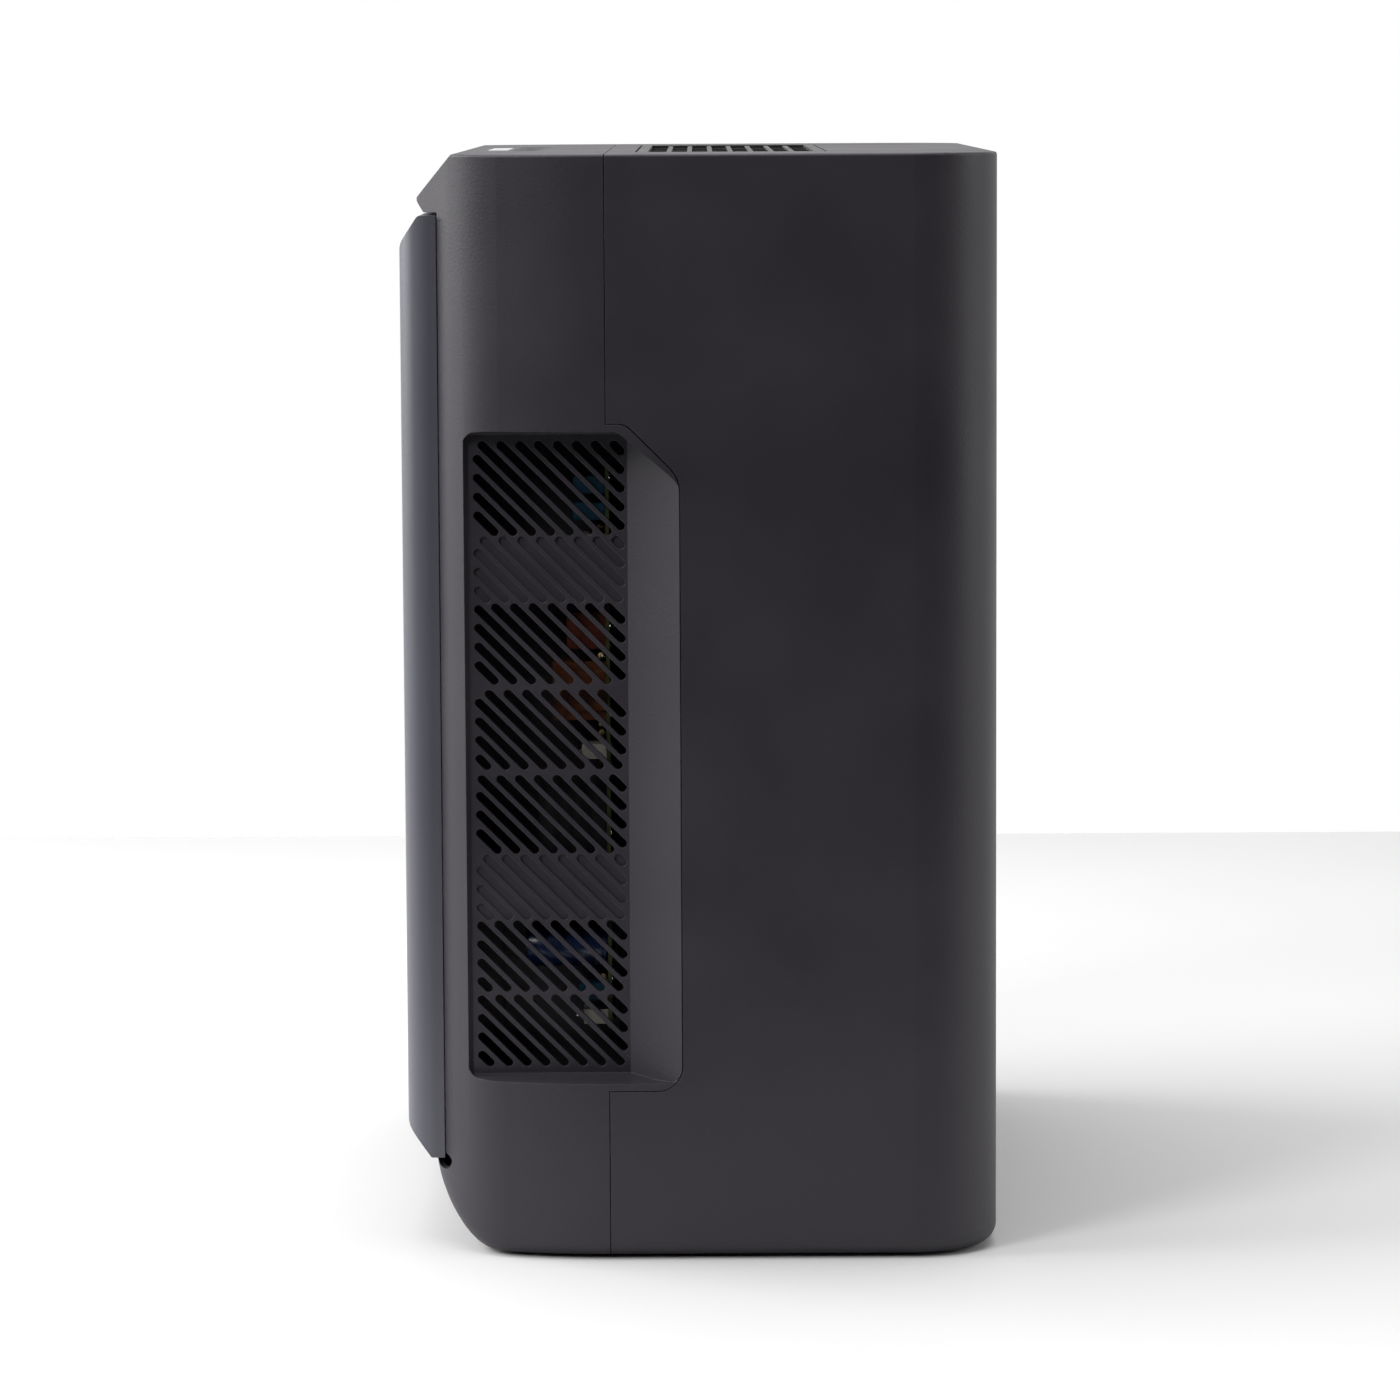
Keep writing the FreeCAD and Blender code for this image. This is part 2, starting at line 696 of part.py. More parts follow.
def hepa_pleats():
    """Folded paper: one zigzag sheet that fills the frame."""
    w, z0, z1 = filter_size()
    w -= filter_frame + 0.2
    folds = int(2 * w / pleat_pitch) * 2
    step = 2 * w / folds
    rise = hepa_depth - 4.0
    sheet = pleat_thickness * rise / step
    near = hepa_front + 2.0
    ahead = [(-w + i * step, near if i % 2 else near + rise - sheet) for i in range(folds + 1)]
    behind = [(x, y + sheet) for x, y in reversed(ahead)]
    return prism("xy", ahead + behind, z0 + filter_frame + 0.2, z1 - filter_frame - 0.2)


def filter_gasket():
    return filter_ring(gasket_front + 0.1, tub_back - 0.1, filter_frame)


def scroll_wire(offset):
    """Volute section: three growing quarter arcs and the flared outlet."""
    z_top = height - wall - slat_height + 1.0
    r1 = scroll_radius
    r2 = r1 + scroll_growth
    r3 = r2 + scroll_growth
    c1 = (-scroll_growth, fan_z)
    c3 = (0.0, fan_z + scroll_growth)
    turn = math.sqrt(0.5)

    def point(x, z):
        return Vector(x, 0, z)

    tongue = point(c1[0], c1[1] + r1)
    left = point(c1[0] - r1, fan_z)
    bottom = point(0, fan_z - r2)
    right = point(r3, c3[1])
    edges = [Part.Arc(tongue, point(c1[0] - r1 * turn, c1[1] + r1 * turn), left).toShape(),
             Part.Arc(left, point(-r2 * turn, fan_z - r2 * turn), bottom).toShape(),
             Part.Arc(bottom, point(r3 * turn, c3[1] - r3 * turn), right).toShape()]
    corners = [right, point(outlet_half, z_top), point(-outlet_half, z_top),
               point(-outlet_half, z_top - 45), tongue]
    for start, end in zip(corners, corners[1:]):
        edges.append(Part.makeLine(start, end))
    wire = Part.Wire(Part.__sortEdges__(edges))
    return wire.makeOffset2D(offset) if offset else wire


def scroll_prism(offset, y0, y1):
    face = Part.Face(scroll_wire(offset))
    face.translate(Vector(0, y0, 0))
    return face.extrude(Vector(0, y1 - y0, 0))


def fan_scroll():
    """Volute with its back wall, open in front and at the outlet."""
    outer = scroll_prism(scroll_wall, scroll_front, scroll_back)
    inner = scroll_prism(0, scroll_front - 1, scroll_back - scroll_wall)
    z_top = height - wall - slat_height + 1.0
    lid = block(-width, width, scroll_front - 1, scroll_back + 1, z_top, height)
    scroll = outer.cut(inner).cut(lid)
    scroll = scroll.cut(rod("xz", 0, fan_z, scroll_front, scroll_back + 1, 14.0))
    for x, z in scroll_post_places() + motor_screw_places():
        scroll = scroll.cut(rod("xz", x, z, scroll_front, scroll_back + 1, screw_radius + 0.3))
    return scroll.removeSplitter()


def scroll_cover():
    """Front plate of the volute, with its bell mouth and the collar to the tub."""
    z_top = height - wall - slat_height + 1.0
    plate = scroll_prism(scroll_wall, scroll_front - scroll_wall - 0.1, scroll_front - 0.1)
    plate = plate.cut(block(-width, width, scroll_front - 9, scroll_back, z_top, height))
    collar = rod("xz", 0, fan_z, tub_back + tub_wall + slip, scroll_front - 1, collar_radius + scroll_wall)
    collar = collar.cut(rod("xz", 0, fan_z, tub_back, scroll_front - 2, collar_radius))
    mouth = pipe("xz", 0, fan_z, scroll_front - 2, scroll_front + 4, impeller_eye - 1, impeller_eye - 3)
    cover = plate.fuse(collar).cut(rod("xz", 0, fan_z, scroll_front - 9, scroll_front + 9,
                                       impeller_eye - 2))
    return cover.fuse(mouth).removeSplitter()


def inlet_guard():
    """Concentric rings and spokes that keep fingers off the fan."""
    y0 = tub_back + tub_wall + 2
    y1 = y0 + 2.5
    ring_radii = (20, 33, 46, 59, 72, 85, collar_radius - 1.5)
    rings = [pipe("xz", 0, fan_z, y0, y1, r + 1.2, r - 1.2) for r in ring_radii]
    for i in range(6):
        spoke = block(-1.2, 1.2, y0, y1, fan_z + 19, fan_z + collar_radius - 1)
        spoke.rotate(Vector(0, 0, fan_z), Vector(0, 1, 0), 60 * i)
        rings.append(spoke)
    return fused(rings)


def blade():
    """Forward-curved blade: a thin arc in section."""
    inner = impeller_eye + 2
    outer = impeller_radius - 1
    bow = 5.0
    y0 = scroll_front + 6
    y1 = scroll_back - 11

    def side(shift):
        return Part.Arc(Vector(inner, y0, fan_z + shift),
                        Vector((inner + outer) / 2, y0, fan_z - bow + shift),
                        Vector(outer, y0, fan_z + shift)).toShape()

    low = side(0)
    high = side(blade_thickness)
    caps = [Part.makeLine(low.Vertexes[i].Point, high.Vertexes[i].Point) for i in (0, 1)]
    return Part.Face(Part.Wire(Part.__sortEdges__([low, high] + caps))).extrude(Vector(0, y1 - y0, 0))


def impeller():
    y_plate = scroll_back - 12
    plate = rod("xz", 0, fan_z, y_plate, y_plate + 2, impeller_radius)
    ring = pipe("xz", 0, fan_z, scroll_front + 5, scroll_front + 7, impeller_radius, impeller_eye + 1)
    hub = rod("xz", 0, fan_z, y_plate - 24, y_plate + 2, 11.0)
    cone = Part.makeCone(46, 11, 26, Vector(0, y_plate + 0.5, fan_z), Vector(0, -1, 0))
    pieces = [plate, ring, hub, cone]
    for i in range(blade_count):
        one = blade()
        one.rotate(Vector(0, 0, fan_z), Vector(0, 1, 0), 360.0 * i / blade_count)
        pieces.append(one)
    wheel = fused(pieces)
    hollow = Part.makeCone(43, 13, 23, Vector(0, y_plate + 2.1, fan_z), Vector(0, -1, 0))
    hollow = hollow.cut(rod("xz", 0, fan_z, y_plate - 30, y_plate + 3, 11.0))
    return wheel.cut(hollow).cut(rod("xz", 0, fan_z, y_plate - 40, y_plate + 5, shaft_radius + shaft_fit))


def motor_shaft():
    return rod("xz", 0, fan_z, scroll_back - 40, motor_front + motor_length + 4, shaft_radius)


def motor_housing():
    """Can with an end plate and a bearing seat at each end."""
    can = rod("xz", 0, fan_z, motor_front, motor_front + motor_length, motor_radius)
    flange = rod("xz", 0, fan_z, motor_front, motor_front + 2, motor_radius + 12)
    housing = can.fuse(flange).cut(rod("xz", 0, fan_z, motor_front + 6, motor_front + motor_length - 6,
                                       motor_radius - 2))
    housing = housing.cut(rod("xz", 0, fan_z, motor_front - 1, motor_front + motor_length + 1,
                              bearing_radius + 0.02))
    for x, z in motor_screw_places():
        housing = housing.cut(rod("xz", x, z, motor_front - 1, motor_front + 3, 4.0))
    return housing.removeSplitter()


def motor_screw_places():
    r = motor_radius + 6.5
    angles = [math.pi / 2 + i * 2 * math.pi / 3 for i in range(3)]
    return [(r * math.cos(a), fan_z + r * math.sin(a)) for a in angles]


def motor_bearing(y0):
    return pipe("xz", 0, fan_z, y0, y0 + 6, bearing_radius, shaft_radius + shaft_fit)


def motor_stator():
    """Laminated ring with its pole windings as one body."""
    y0 = motor_front + 9
    ring = pipe("xz", 0, fan_z, y0, y0 + 22, motor_radius - 2.2, motor_radius - 9)
    poles = [ring]
    for i in range(6):
        pole = block(-5, 5, y0, y0 + 22, fan_z + 19.5, fan_z + motor_radius - 8)
        pole.rotate(Vector(0, 0, fan_z), Vector(0, 1, 0), 60 * i)
        poles.append(pole)
    return fused(poles)


def motor_rotor():
    y0 = motor_front + 9
    return pipe("xz", 0, fan_z, y0, y0 + 22, 18.5, shaft_radius)


def motor_grommets():
    made = []
    for x, z in motor_screw_places():
        waist = rod("xz", x, z, motor_front - 2.2, motor_front + 4, 3.9)
        rims = rod("xz", x, z, motor_front - 2.2, motor_front - 0.1, 5.5)
        rims = rims.fuse(rod("xz", x, z, motor_front + 2.1, motor_front + 4, 5.5))
        made.append(waist.fuse(rims).cut(rod("xz", x, z, motor_front - 3, motor_front + 5,
                                             screw_radius + 0.05)).removeSplitter())
    return Part.makeCompound(made)


def outlet_grille():
    """Drop-in grille: flange, slats along the width and two cross ribs."""
    y0 = grille_y + slip
    y1 = grille_y + grille_depth - slip
    w = grille_half - slip
    top = height
    rim = 2.0
    flange = block(-w - grille_flange + 2 * slip, w + grille_flange - 2 * slip,
                   y0 - grille_flange + 2 * slip,
                   y1 + grille_flange - 2 * slip, top - grille_thickness, top)
    frame = block(-w, w, y0, y1, top - slat_height, top)
    hole = block(rim - w, w - rim, y0 + rim, y1 - rim, top - slat_height - 1, top + 1)
    pieces = [flange.fuse(frame).cut(hole)]
    count = int((y1 - y0 - rim) / slat_pitch)
    for i in range(1, count):
        y = y0 + rim + (y1 - y0 - 2 * rim) * i / count
        pieces.append(block(1 - w, w - 1, y - slat_thickness / 2, y + slat_thickness / 2,
                            top - slat_height, top - 0.4))
    for x in (-w / 2, 0, w / 2):
        pieces.append(block(x - 1, x + 1, y0 + 1, y1 - 1, top - slat_height, top - 0.8))
    return fused(pieces)


def button(index):
    """Round key with a flange under the shell and a stem over its switch."""
    x, y = button_places()[index]
    top = height - button_sink
    cap = rod("xy", x, y, height - wall - 1.5, top, button_radius)
    cap = cap.makeFillet(0.6, [e for e in cap.Edges if e.BoundBox.ZMin > top - 0.001])
    flange = rod("xy", x, y, height - wall - 2.0, height - wall - 0.4, button_radius + 1.4)
    stem = rod("xy", x, y, control_top + switch_height + button_travel + 0.1, height - wall - 1.8, 2.0)
    return fused([cap, flange, stem])


def key_switches():
    made = []
    for x, y in button_places():
        body = block(x - 3, x + 3, y - 3, y + 3, control_top + 0.05, control_top + 3.4)
        made.append(body.fuse(rod("xy", x, y, control_top + 3, control_top + switch_height,
                                  1.7)).removeSplitter())
    return Part.makeCompound(made)


def control_board():
    board = block(-88, 88, front + 28, front + 72, control_top - board_thickness, control_top)
    for x, y in control_post_places():
        board = board.cut(rod("xy", x, y, control_top - 3, control_top + 1, screw_radius + 0.2))
    return board


def display_module():
    """Row of light-emitting digits and icons under the lens."""
    y = front + lens_setback + lens_depth / 2
    return block(-lens_half + 3, lens_half - 3, y - 2.2, y + 2.2, control_top + 0.05, height - wall - 2.3)


def display_lens():
    y = front + lens_setback
    return block(slip / 2 - lens_half, lens_half - slip / 2, y + slip / 2, y + lens_depth - slip / 2,
                 height - 2.0, height)


def power_board():
    x1 = half - vent_sink - wall - 2.5
    return block(x1 - power_board_width, x1, board_y, board_y + board_thickness, power_board_bottom,
                 power_board_bottom + power_board_height)


def board_carrier(z0, z1):
    """Plate on the tub's side wall, with a groove for the board's inner edge.

    It runs on past the board to screen the side chamber from the fan."""
    x0 = tub_half + slip / 2
    groove_x = half - vent_sink - wall - 2.5 - power_board_width
    plate = block(x0, x0 + carrier_thickness, tub_back - 30, seam_y + screen_reach, z0 - screen_margin,
                  z1 + screen_margin)
    jaw = block(x0, groove_x + 3, board_y - 3, board_y + board_thickness + 3, z0, z1)
    groove = block(groove_x - 0.1, groove_x + 9, board_y - 0.05, board_y + board_thickness + 0.05,
                   z0 - 1, z1 + 1)
    return plate.fuse(jaw).cut(groove).removeSplitter()


def on_board(x, z, reach, size_x, size_z):
    """Box standing off the power board's front face."""
    x_mid = half - vent_sink - wall - 2.5 - power_board_width / 2 + x
    return block(x_mid - size_x / 2, x_mid + size_x / 2, board_y - 0.05 - reach, board_y - 0.05,
                 z - size_z / 2, z + size_z / 2)


def board_can(x, z, reach, radius):
    x_mid = half - vent_sink - wall - 2.5 - power_board_width / 2 + x
    can = rod("xz", x_mid, z, board_y - 0.05 - reach, board_y - 0.05, radius)
    return can.makeFillet(0.8, can.Edges[:1])


def bulk_capacitors():
    return Part.makeCompound([board_can(1.5, power_board_bottom + 33, 34, 8.5),
                              board_can(1.5, power_board_bottom + 53, 34, 8.5)])


def film_capacitors():
    return Part.makeCompound([on_board(3, power_board_bottom + 214, 13, 16, 7),
                              on_board(3, power_board_bottom + 225, 13, 16, 7),
                              on_board(4, power_board_bottom + 15, 12, 14, 7)])


def power_transformer():
    core = on_board(1.5, power_board_bottom + 140, 22, 16, 24)
    bobbin = on_board(1.5, power_board_bottom + 140, 18, 19, 16)
    return core.fuse(bobbin).removeSplitter()


def heat_sink():
    """Extruded fins along the board."""
    spine = on_board(8, power_board_bottom + 87, 28, 2, 40)
    fins = [spine]
    for i in range(5):
        fin = on_board(2, power_board_bottom + 87, 2, 12, 40)
        fin.translate(Vector(0, -4.0 - 5.5 * i, 0))
        fins.append(fin)
    return fused(fins)


def relay():
    return on_board(2, power_board_bottom + 165, 16, 17, 15)


def choke():
    """Wound toroid standing on the board."""
    x_mid = half - vent_sink - wall - 2.5 - power_board_width / 2 + 1.5
    return pipe("xz", x_mid, power_board_bottom + 189, board_y - 11, board_y - 0.05, 9.5, 4.0)


def board_sockets():
    return Part.makeCompound([on_board(1.5, power_board_bottom + 201.5, 10, 18, 6),
                              on_board(4, power_board_bottom + 115, 10, 14, 6),
                              on_board(1.5, power_board_bottom + 4.5, 10, 18, 6)])


def air_sensor():
    """Particle sensor in the left-hand side chamber, with its own air slots."""
    x0 = -(tub_half + slip / 2 + carrier_thickness + 0.1)
    body = block(x0 - 24, x0, board_y - 34, board_y - 4, 180, 232)
    for i in range(5):
        body = body.cut(block(x0 - 25, x0 - 21, board_y - 31, board_y - 7, 186 + 9 * i, 189 + 9 * i))
    return body


def sensor_carrier():
    x0 = -(tub_half + slip / 2)
    return block(x0 - carrier_thickness, x0, board_y - 38, board_y, 172, 240)


def power_inlet():
    """Two-pole appliance inlet, snapped into the rear wall."""
    w, h = inlet_size
    body = block(inlet_x - w / 2 + slip / 2, inlet_x + w / 2 - slip / 2, rear - inlet_length, rear,
                 inlet_z - h / 2 + slip / 2, inlet_z + h / 2 - slip / 2)
    bezel = block(inlet_x - w / 2 - 2, inlet_x + w / 2 + 2, rear - wall - 2, rear - wall - slip / 2,
                  inlet_z - h / 2 - 2, inlet_z + h / 2 + 2)
    socket = prism("xz", [(inlet_x - 8, inlet_z - 4.5, 4), (inlet_x + 8, inlet_z - 4.5, 4),
                          (inlet_x + 8, inlet_z + 4.5, 4),
                          (inlet_x - 8, inlet_z + 4.5, 4)], rear - 14, rear + 1)
    inlet = body.fuse(bezel).cut(socket)
    for x in (-pin_spread, pin_spread):
        inlet = inlet.cut(rod("xz", inlet_x + x, inlet_z, rear - inlet_length - 1, rear,
                              pin_radius + screw_fit))
    return inlet.removeSplitter()


def inlet_pins():
    return Part.makeCompound([rod("xz", inlet_x + x, inlet_z, rear - inlet_length - 5, rear - 3, pin_radius)
                              for x in (-pin_spread, pin_spread)])


def feet():
    made = []
    for x, y in foot_places(True) + foot_places(False):
        foot = rod("xy", x, y, 0, foot_height, foot_radius)
        made.append(foot.makeFillet(0.5, [e for e in foot.Edges if e.BoundBox.ZMax < 0.001]))
    return Part.makeCompound(made)


def screw(plane, a, b, seat, toward, length):
    """Pan-head screw whose head sits on a seat and whose shank points one way."""
    head = sorted((seat, seat - 2.4 * toward))
    shank = sorted((seat - 0.5 * toward, seat + length * toward))
    return rod(plane, a, b, head[0], head[1], 3.0).fuse(rod(plane, a, b, shank[0], shank[1],
                                                            screw_radius)).removeSplitter()


def shell_screws():
    seat = seam_y + slip + wall
    return Part.makeCompound([screw("xz", x, z, seat, -1, 18) for x, z in shell_screw_places()])


def tub_screws():
    seat = joint_y + wall + 13 + slip + 3
    return Part.makeCompound([screw("xz", x, z, seat, -1, 12) for x, z in tub_screw_places()])


def control_screws():
    seat = control_top - board_thickness
    return Part.makeCompound([screw("xy", x, y, seat, 1, 8) for x, y in control_post_places()])


def scroll_screws():
    seat = scroll_back - scroll_wall
    return Part.makeCompound([screw("xz", x, z, seat, 1, 14) for x, z in scroll_post_places()])


def motor_screws():
    seat = motor_front + 4
    return Part.makeCompound([screw("xz", x, z, seat, -1, 10) for x, z in motor_screw_places()])


def lead(points, radius):
    """Insulated cable: straight runs joined by arcs as large as the runs allow."""
    p = [Vector(*point) for point in points]
    edges = []
    start = p[0]
    for before, corner, after in zip(p, p[1:], p[2:]):
        back = (before - corner).normalize()
        ahead = (after - corner).normalize()
        reach = 0.45 * min(before.distanceToPoint(corner), corner.distanceToPoint(after))
        bend = reach * math.tan(back.getAngle(ahead) / 2)
        middle = (back + ahead).normalize()
        centre = corner + middle * math.hypot(reach, bend)
        edges.append(Part.makeLine(start, corner + back * reach))
        edges.append(Part.Arc(corner + back * reach, centre - middle * bend,
                              corner + ahead * reach).toShape())
        start = corner + ahead * reach
    edges.append(Part.makeLine(start, p[-1]))
    section = Part.Wire(Part.makeCircle(radius, p[0], (p[1] - p[0]).normalize()))
    return Part.Wire(edges).makePipeShell([section], True, False)


def board_middle():
    return half - vent_sink - wall - 2.5 - power_board_width / 2


def inlet_lead():
    """Mains lead from the inlet to the foot of the power board."""
    x = board_middle()
    board_back = board_y + board_thickness + 0.05
    z = power_board_bottom + 12.0
    return lead([(inlet_x, rear - inlet_length - 5.2, inlet_z),
                 (inlet_x, rear - inlet_length - 45, inlet_z - 6),
                 (inlet_x + 6, seam_y + 80, inlet_z - 4), (x, seam_y + 40, z - 20), (x, seam_y + 22, z),
                 (x, board_back, z)], lead_radius)


def motor_lead():
    x = board_middle()
    z = power_board_bottom + 107.0
    y = motor_front + motor_length / 2 + 6
    return lead([(x, board_y + board_thickness + 0.05, z), (x, seam_y + 22, z), (x + 4, seam_y + 60, z + 8),
                 (x, scroll_back + 14, z + 12), (x / 2 + 30, y + 2, z + 4), (x / 2, y, fan_z),
                 (motor_radius + 0.1, y, fan_z)], lead_radius)


def control_lead():
    x = board_middle()
    z = power_board_bottom + power_board_height - 8
    end_x, end_y = 74.0, button_y + 12
    return lead([(x, board_y + board_thickness + 0.05, z), (x, seam_y + 16, z), (x - 3, seam_y + 8, z + 32),
                 (x - 8, seam_y + 4, seat_top - 34), (x - 26, seam_y, control_top - 14),
                 (end_x + 14, end_y + 8, control_top - 15),
                 (end_x, end_y, control_top - 12), (end_x, end_y, control_top - board_thickness - 0.1)],
                 lead_radius * 0.7)


def save(name, shape):
    shape.exportStep("parts/" + name + ".step")


front_blank, rear_blank = cabinet()
save("front_shell", finish_front_shell(front_blank))
save("rear_shell", finish_rear_shell(rear_blank))
save("front_panel", front_panel())
save("panel_magnets", panel_magnets())
save("keeper_plates", keeper_plates())
save("filter_tub", filter_tub())
save("prefilter", prefilter())
save("carbon_filter", carbon_filter())
save("hepa_frame", hepa_frame())
save("hepa_pleats", hepa_pleats())
save("filter_gasket", filter_gasket())
save("inlet_guard", inlet_guard())
save("fan_scroll", fan_scroll())
save("scroll_cover", scroll_cover())
save("impeller", impeller())
save("motor_shaft", motor_shaft())
save("motor_rotor", motor_rotor())
save("motor_housing", motor_housing())
save("motor_stator", motor_stator())
save("front_bearing", motor_bearing(motor_front))
save("rear_bearing", motor_bearing(motor_front + motor_length - 6))
save("motor_grommets", motor_grommets())
save("outlet_grille", outlet_grille())
for number, name in enumerate(("power_button", "speed_button", "timer_button", "night_button")):
    save(name, button(number))
save("key_switches", key_switches())
save("control_board", control_board())
save("display_module", display_module())
save("display_lens", display_lens())
save("power_board", power_board())
save("board_carrier", board_carrier(power_board_bottom - 4, power_board_bottom + power_board_height + 4))
save("bulk_capacitors", bulk_capacitors())
save("film_capacitors", film_capacitors())
save("power_transformer", power_transformer())
save("heat_sink", heat_sink())
save("relay", relay())
save("choke", choke())
save("board_sockets", board_sockets())
save("sensor_carrier", sensor_carrier())
save("air_sensor", air_sensor())
save("power_inlet", power_inlet())
save("inlet_pins", inlet_pins())
save("inlet_lead", inlet_lead())
save("motor_lead", motor_lead())
save("control_lead", control_lead())
save("feet", feet())
save("shell_screws", shell_screws())
save("tub_screws", tub_screws())
save("control_screws", control_screws())
save("scroll_screws", scroll_screws())
save("motor_screws", motor_screws())
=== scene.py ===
import math

import bmesh
import bpy
from mathutils import Matrix, Vector


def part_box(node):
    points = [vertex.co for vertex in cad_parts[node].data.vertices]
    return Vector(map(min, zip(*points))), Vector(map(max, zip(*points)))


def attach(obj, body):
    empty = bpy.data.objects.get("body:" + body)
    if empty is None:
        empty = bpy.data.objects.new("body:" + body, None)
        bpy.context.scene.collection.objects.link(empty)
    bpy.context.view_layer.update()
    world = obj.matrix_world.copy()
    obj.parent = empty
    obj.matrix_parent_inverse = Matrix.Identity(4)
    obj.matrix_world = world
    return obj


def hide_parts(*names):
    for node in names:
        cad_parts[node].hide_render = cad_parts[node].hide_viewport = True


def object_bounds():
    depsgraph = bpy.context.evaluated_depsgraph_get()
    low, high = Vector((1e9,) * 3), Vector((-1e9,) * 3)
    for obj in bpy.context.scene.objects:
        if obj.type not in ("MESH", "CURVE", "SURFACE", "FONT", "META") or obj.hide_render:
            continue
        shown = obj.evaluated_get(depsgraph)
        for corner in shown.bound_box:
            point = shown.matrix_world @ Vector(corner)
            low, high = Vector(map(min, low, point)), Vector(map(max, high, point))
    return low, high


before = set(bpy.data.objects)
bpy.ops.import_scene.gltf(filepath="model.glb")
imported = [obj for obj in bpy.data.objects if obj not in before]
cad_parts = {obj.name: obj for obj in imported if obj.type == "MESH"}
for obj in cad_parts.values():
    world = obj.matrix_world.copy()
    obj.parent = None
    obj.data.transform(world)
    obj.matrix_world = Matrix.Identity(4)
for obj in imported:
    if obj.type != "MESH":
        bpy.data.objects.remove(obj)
cad_low, cad_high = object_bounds()

# ---- Cabinet shells ----
# Two ABS mouldings meet on a parting line that steps round the side vents. Each comes from a spark-eroded
# mould, so the outside has an even fine texture, and six screws driven from the rear hold them together.


def linear(code):
    """sRGB hex value as a linear colour."""
    parts = [int(code[i:i + 2], 16) / 255 for i in (1, 3, 5)]
    return tuple(p / 12.92 if p <= 0.04045 else ((p + 0.055) / 1.055) ** 2.4 for p in parts) + (1.0,)


def add(tree, kind, settings, links):
    """A node with its settings, by input or property name, and its links from other nodes' outputs."""
    node = tree.nodes.new(kind)
    for key, value in settings.items():
        if isinstance(key, str) and hasattr(node, key):
            setattr(node, key, value)
    for key, value in settings.items():
        if not (isinstance(key, str) and hasattr(node, key)):
            node.inputs[key].default_value = value
    for key, output in links.items():
        tree.links.new(output, node.inputs[key])
    return node


def surface(name, tones, drift, grain, relief, shine, worn=None, metallic=0.0, ior=1.5,
            stretch=(1, 1, 1), texture="ShaderNodeTexNoise", rounding=0.0004):
    """Material with two tones that drift over a distance and a relief of one grain size and depth, in metres.

    Its roughness wanders between the two values of shine, and its edges can be worn to another tone."""
    material = bpy.data.materials.new(name)
    material.use_nodes = True
    tree = material.node_tree
    shader = tree.nodes["Principled BSDF"]
    shader.inputs["Metallic"].default_value = metallic
    shader.inputs["IOR"].default_value = ior
    place = add(tree, "ShaderNodeTexCoord", {}, {})
    scaled = add(tree, "ShaderNodeMapping", {"Scale": stretch}, {"Vector": place.outputs["Object"]})
    cloud = add(tree, "ShaderNodeTexNoise", {"Scale": 1 / drift, "Detail": 4.0},
                {"Vector": scaled.outputs[0]})
    share = add(tree, "ShaderNodeMapRange", {"From Min": 0.32, "From Max": 0.68},
                {"Value": cloud.outputs[0]})
    colour = add(tree, "ShaderNodeMix", {"data_type": "RGBA", 6: linear(tones[0]), 7: linear(tones[1])},
                 {0: share.outputs[0]})
    rounded = add(tree, "ShaderNodeBevel", {"samples": 4, "Radius": rounding}, {})
    if worn:
        true = add(tree, "ShaderNodeNewGeometry", {}, {})
        turn = add(tree, "ShaderNodeVectorMath", {"operation": "DOT_PRODUCT"},
                   {0: rounded.outputs[0], 1: true.outputs["Normal"]})
        patchy = add(tree, "ShaderNodeMapRange", {"From Min": 0.985, "From Max": 0.8, "To Max": 0.7},
                     {"Value": turn.outputs["Value"]})
        rubbed = add(tree, "ShaderNodeMath", {"operation": "MULTIPLY"},
                     {0: patchy.outputs[0], 1: cloud.outputs[0]})
        colour = add(tree, "ShaderNodeMix", {"data_type": "RGBA", 7: linear(worn)},
                     {0: rubbed.outputs[0], 6: colour.outputs[2]})
    tree.links.new(colour.outputs[2], shader.inputs["Base Color"])
    fine = add(tree, texture, {"Scale": 1 / grain}, {"Vector": scaled.outputs[0]})
    rough = add(tree, "ShaderNodeMapRange", {"From Min": 0.25, "From Max": 0.75, "To Min": shine[0],
                "To Max": shine[1]}, {"Value": cloud.outputs[0]})
    tree.links.new(rough.outputs[0], shader.inputs["Roughness"])
    bump = add(tree, "ShaderNodeBump", {"Distance": relief},
               {"Height": fine.outputs[0], "Normal": rounded.outputs[0]})
    tree.links.new(bump.outputs[0], shader.inputs["Normal"])
    return material


def dress(material, *names):
    """Gives the material to the CAD nodes."""
    for name in names:
        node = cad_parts[name]
        if not node.material_slots:
            node.data.materials.append(material)
        for slot in node.material_slots:
            slot.material = material


# Spark-eroded ABS: a matt charcoal that breaks highlights up softly. The real grain is about 0.2 mm and is
# drawn at 1.1 mm, because a finer one would not show.
shell_abs = surface("spark_eroded_abs_charcoal", ("#26222a", "#2d2930"), 0.07, 0.0011, 0.00007,
                    (0.46, 0.58), worn="#5a585d")
dress(shell_abs, "rear_shell", "front_shell")

# ---- Front panel ----
# A separate tray-shaped moulding that pulls straight off its four magnets and pegs. It is painted with a
# blue-grey satin coat, with no lettering, and hides the prefilter.

# Satin paint on ABS: blue-grey, smoother than the shell, with a faint orange-peel of 2 mm.
panel_paint = surface("satin_paint_blue_grey", ("#4f4f58", "#54545d"), 0.12, 0.002, 0.00003, (0.39, 0.44),
                      worn="#7b7b86")
panel_paint.node_tree.nodes["Principled BSDF"].inputs["Coat Weight"].default_value = 0.25
panel_paint.node_tree.nodes["Principled BSDF"].inputs["Coat Roughness"].default_value = 0.3
dress(panel_paint, "front_panel")

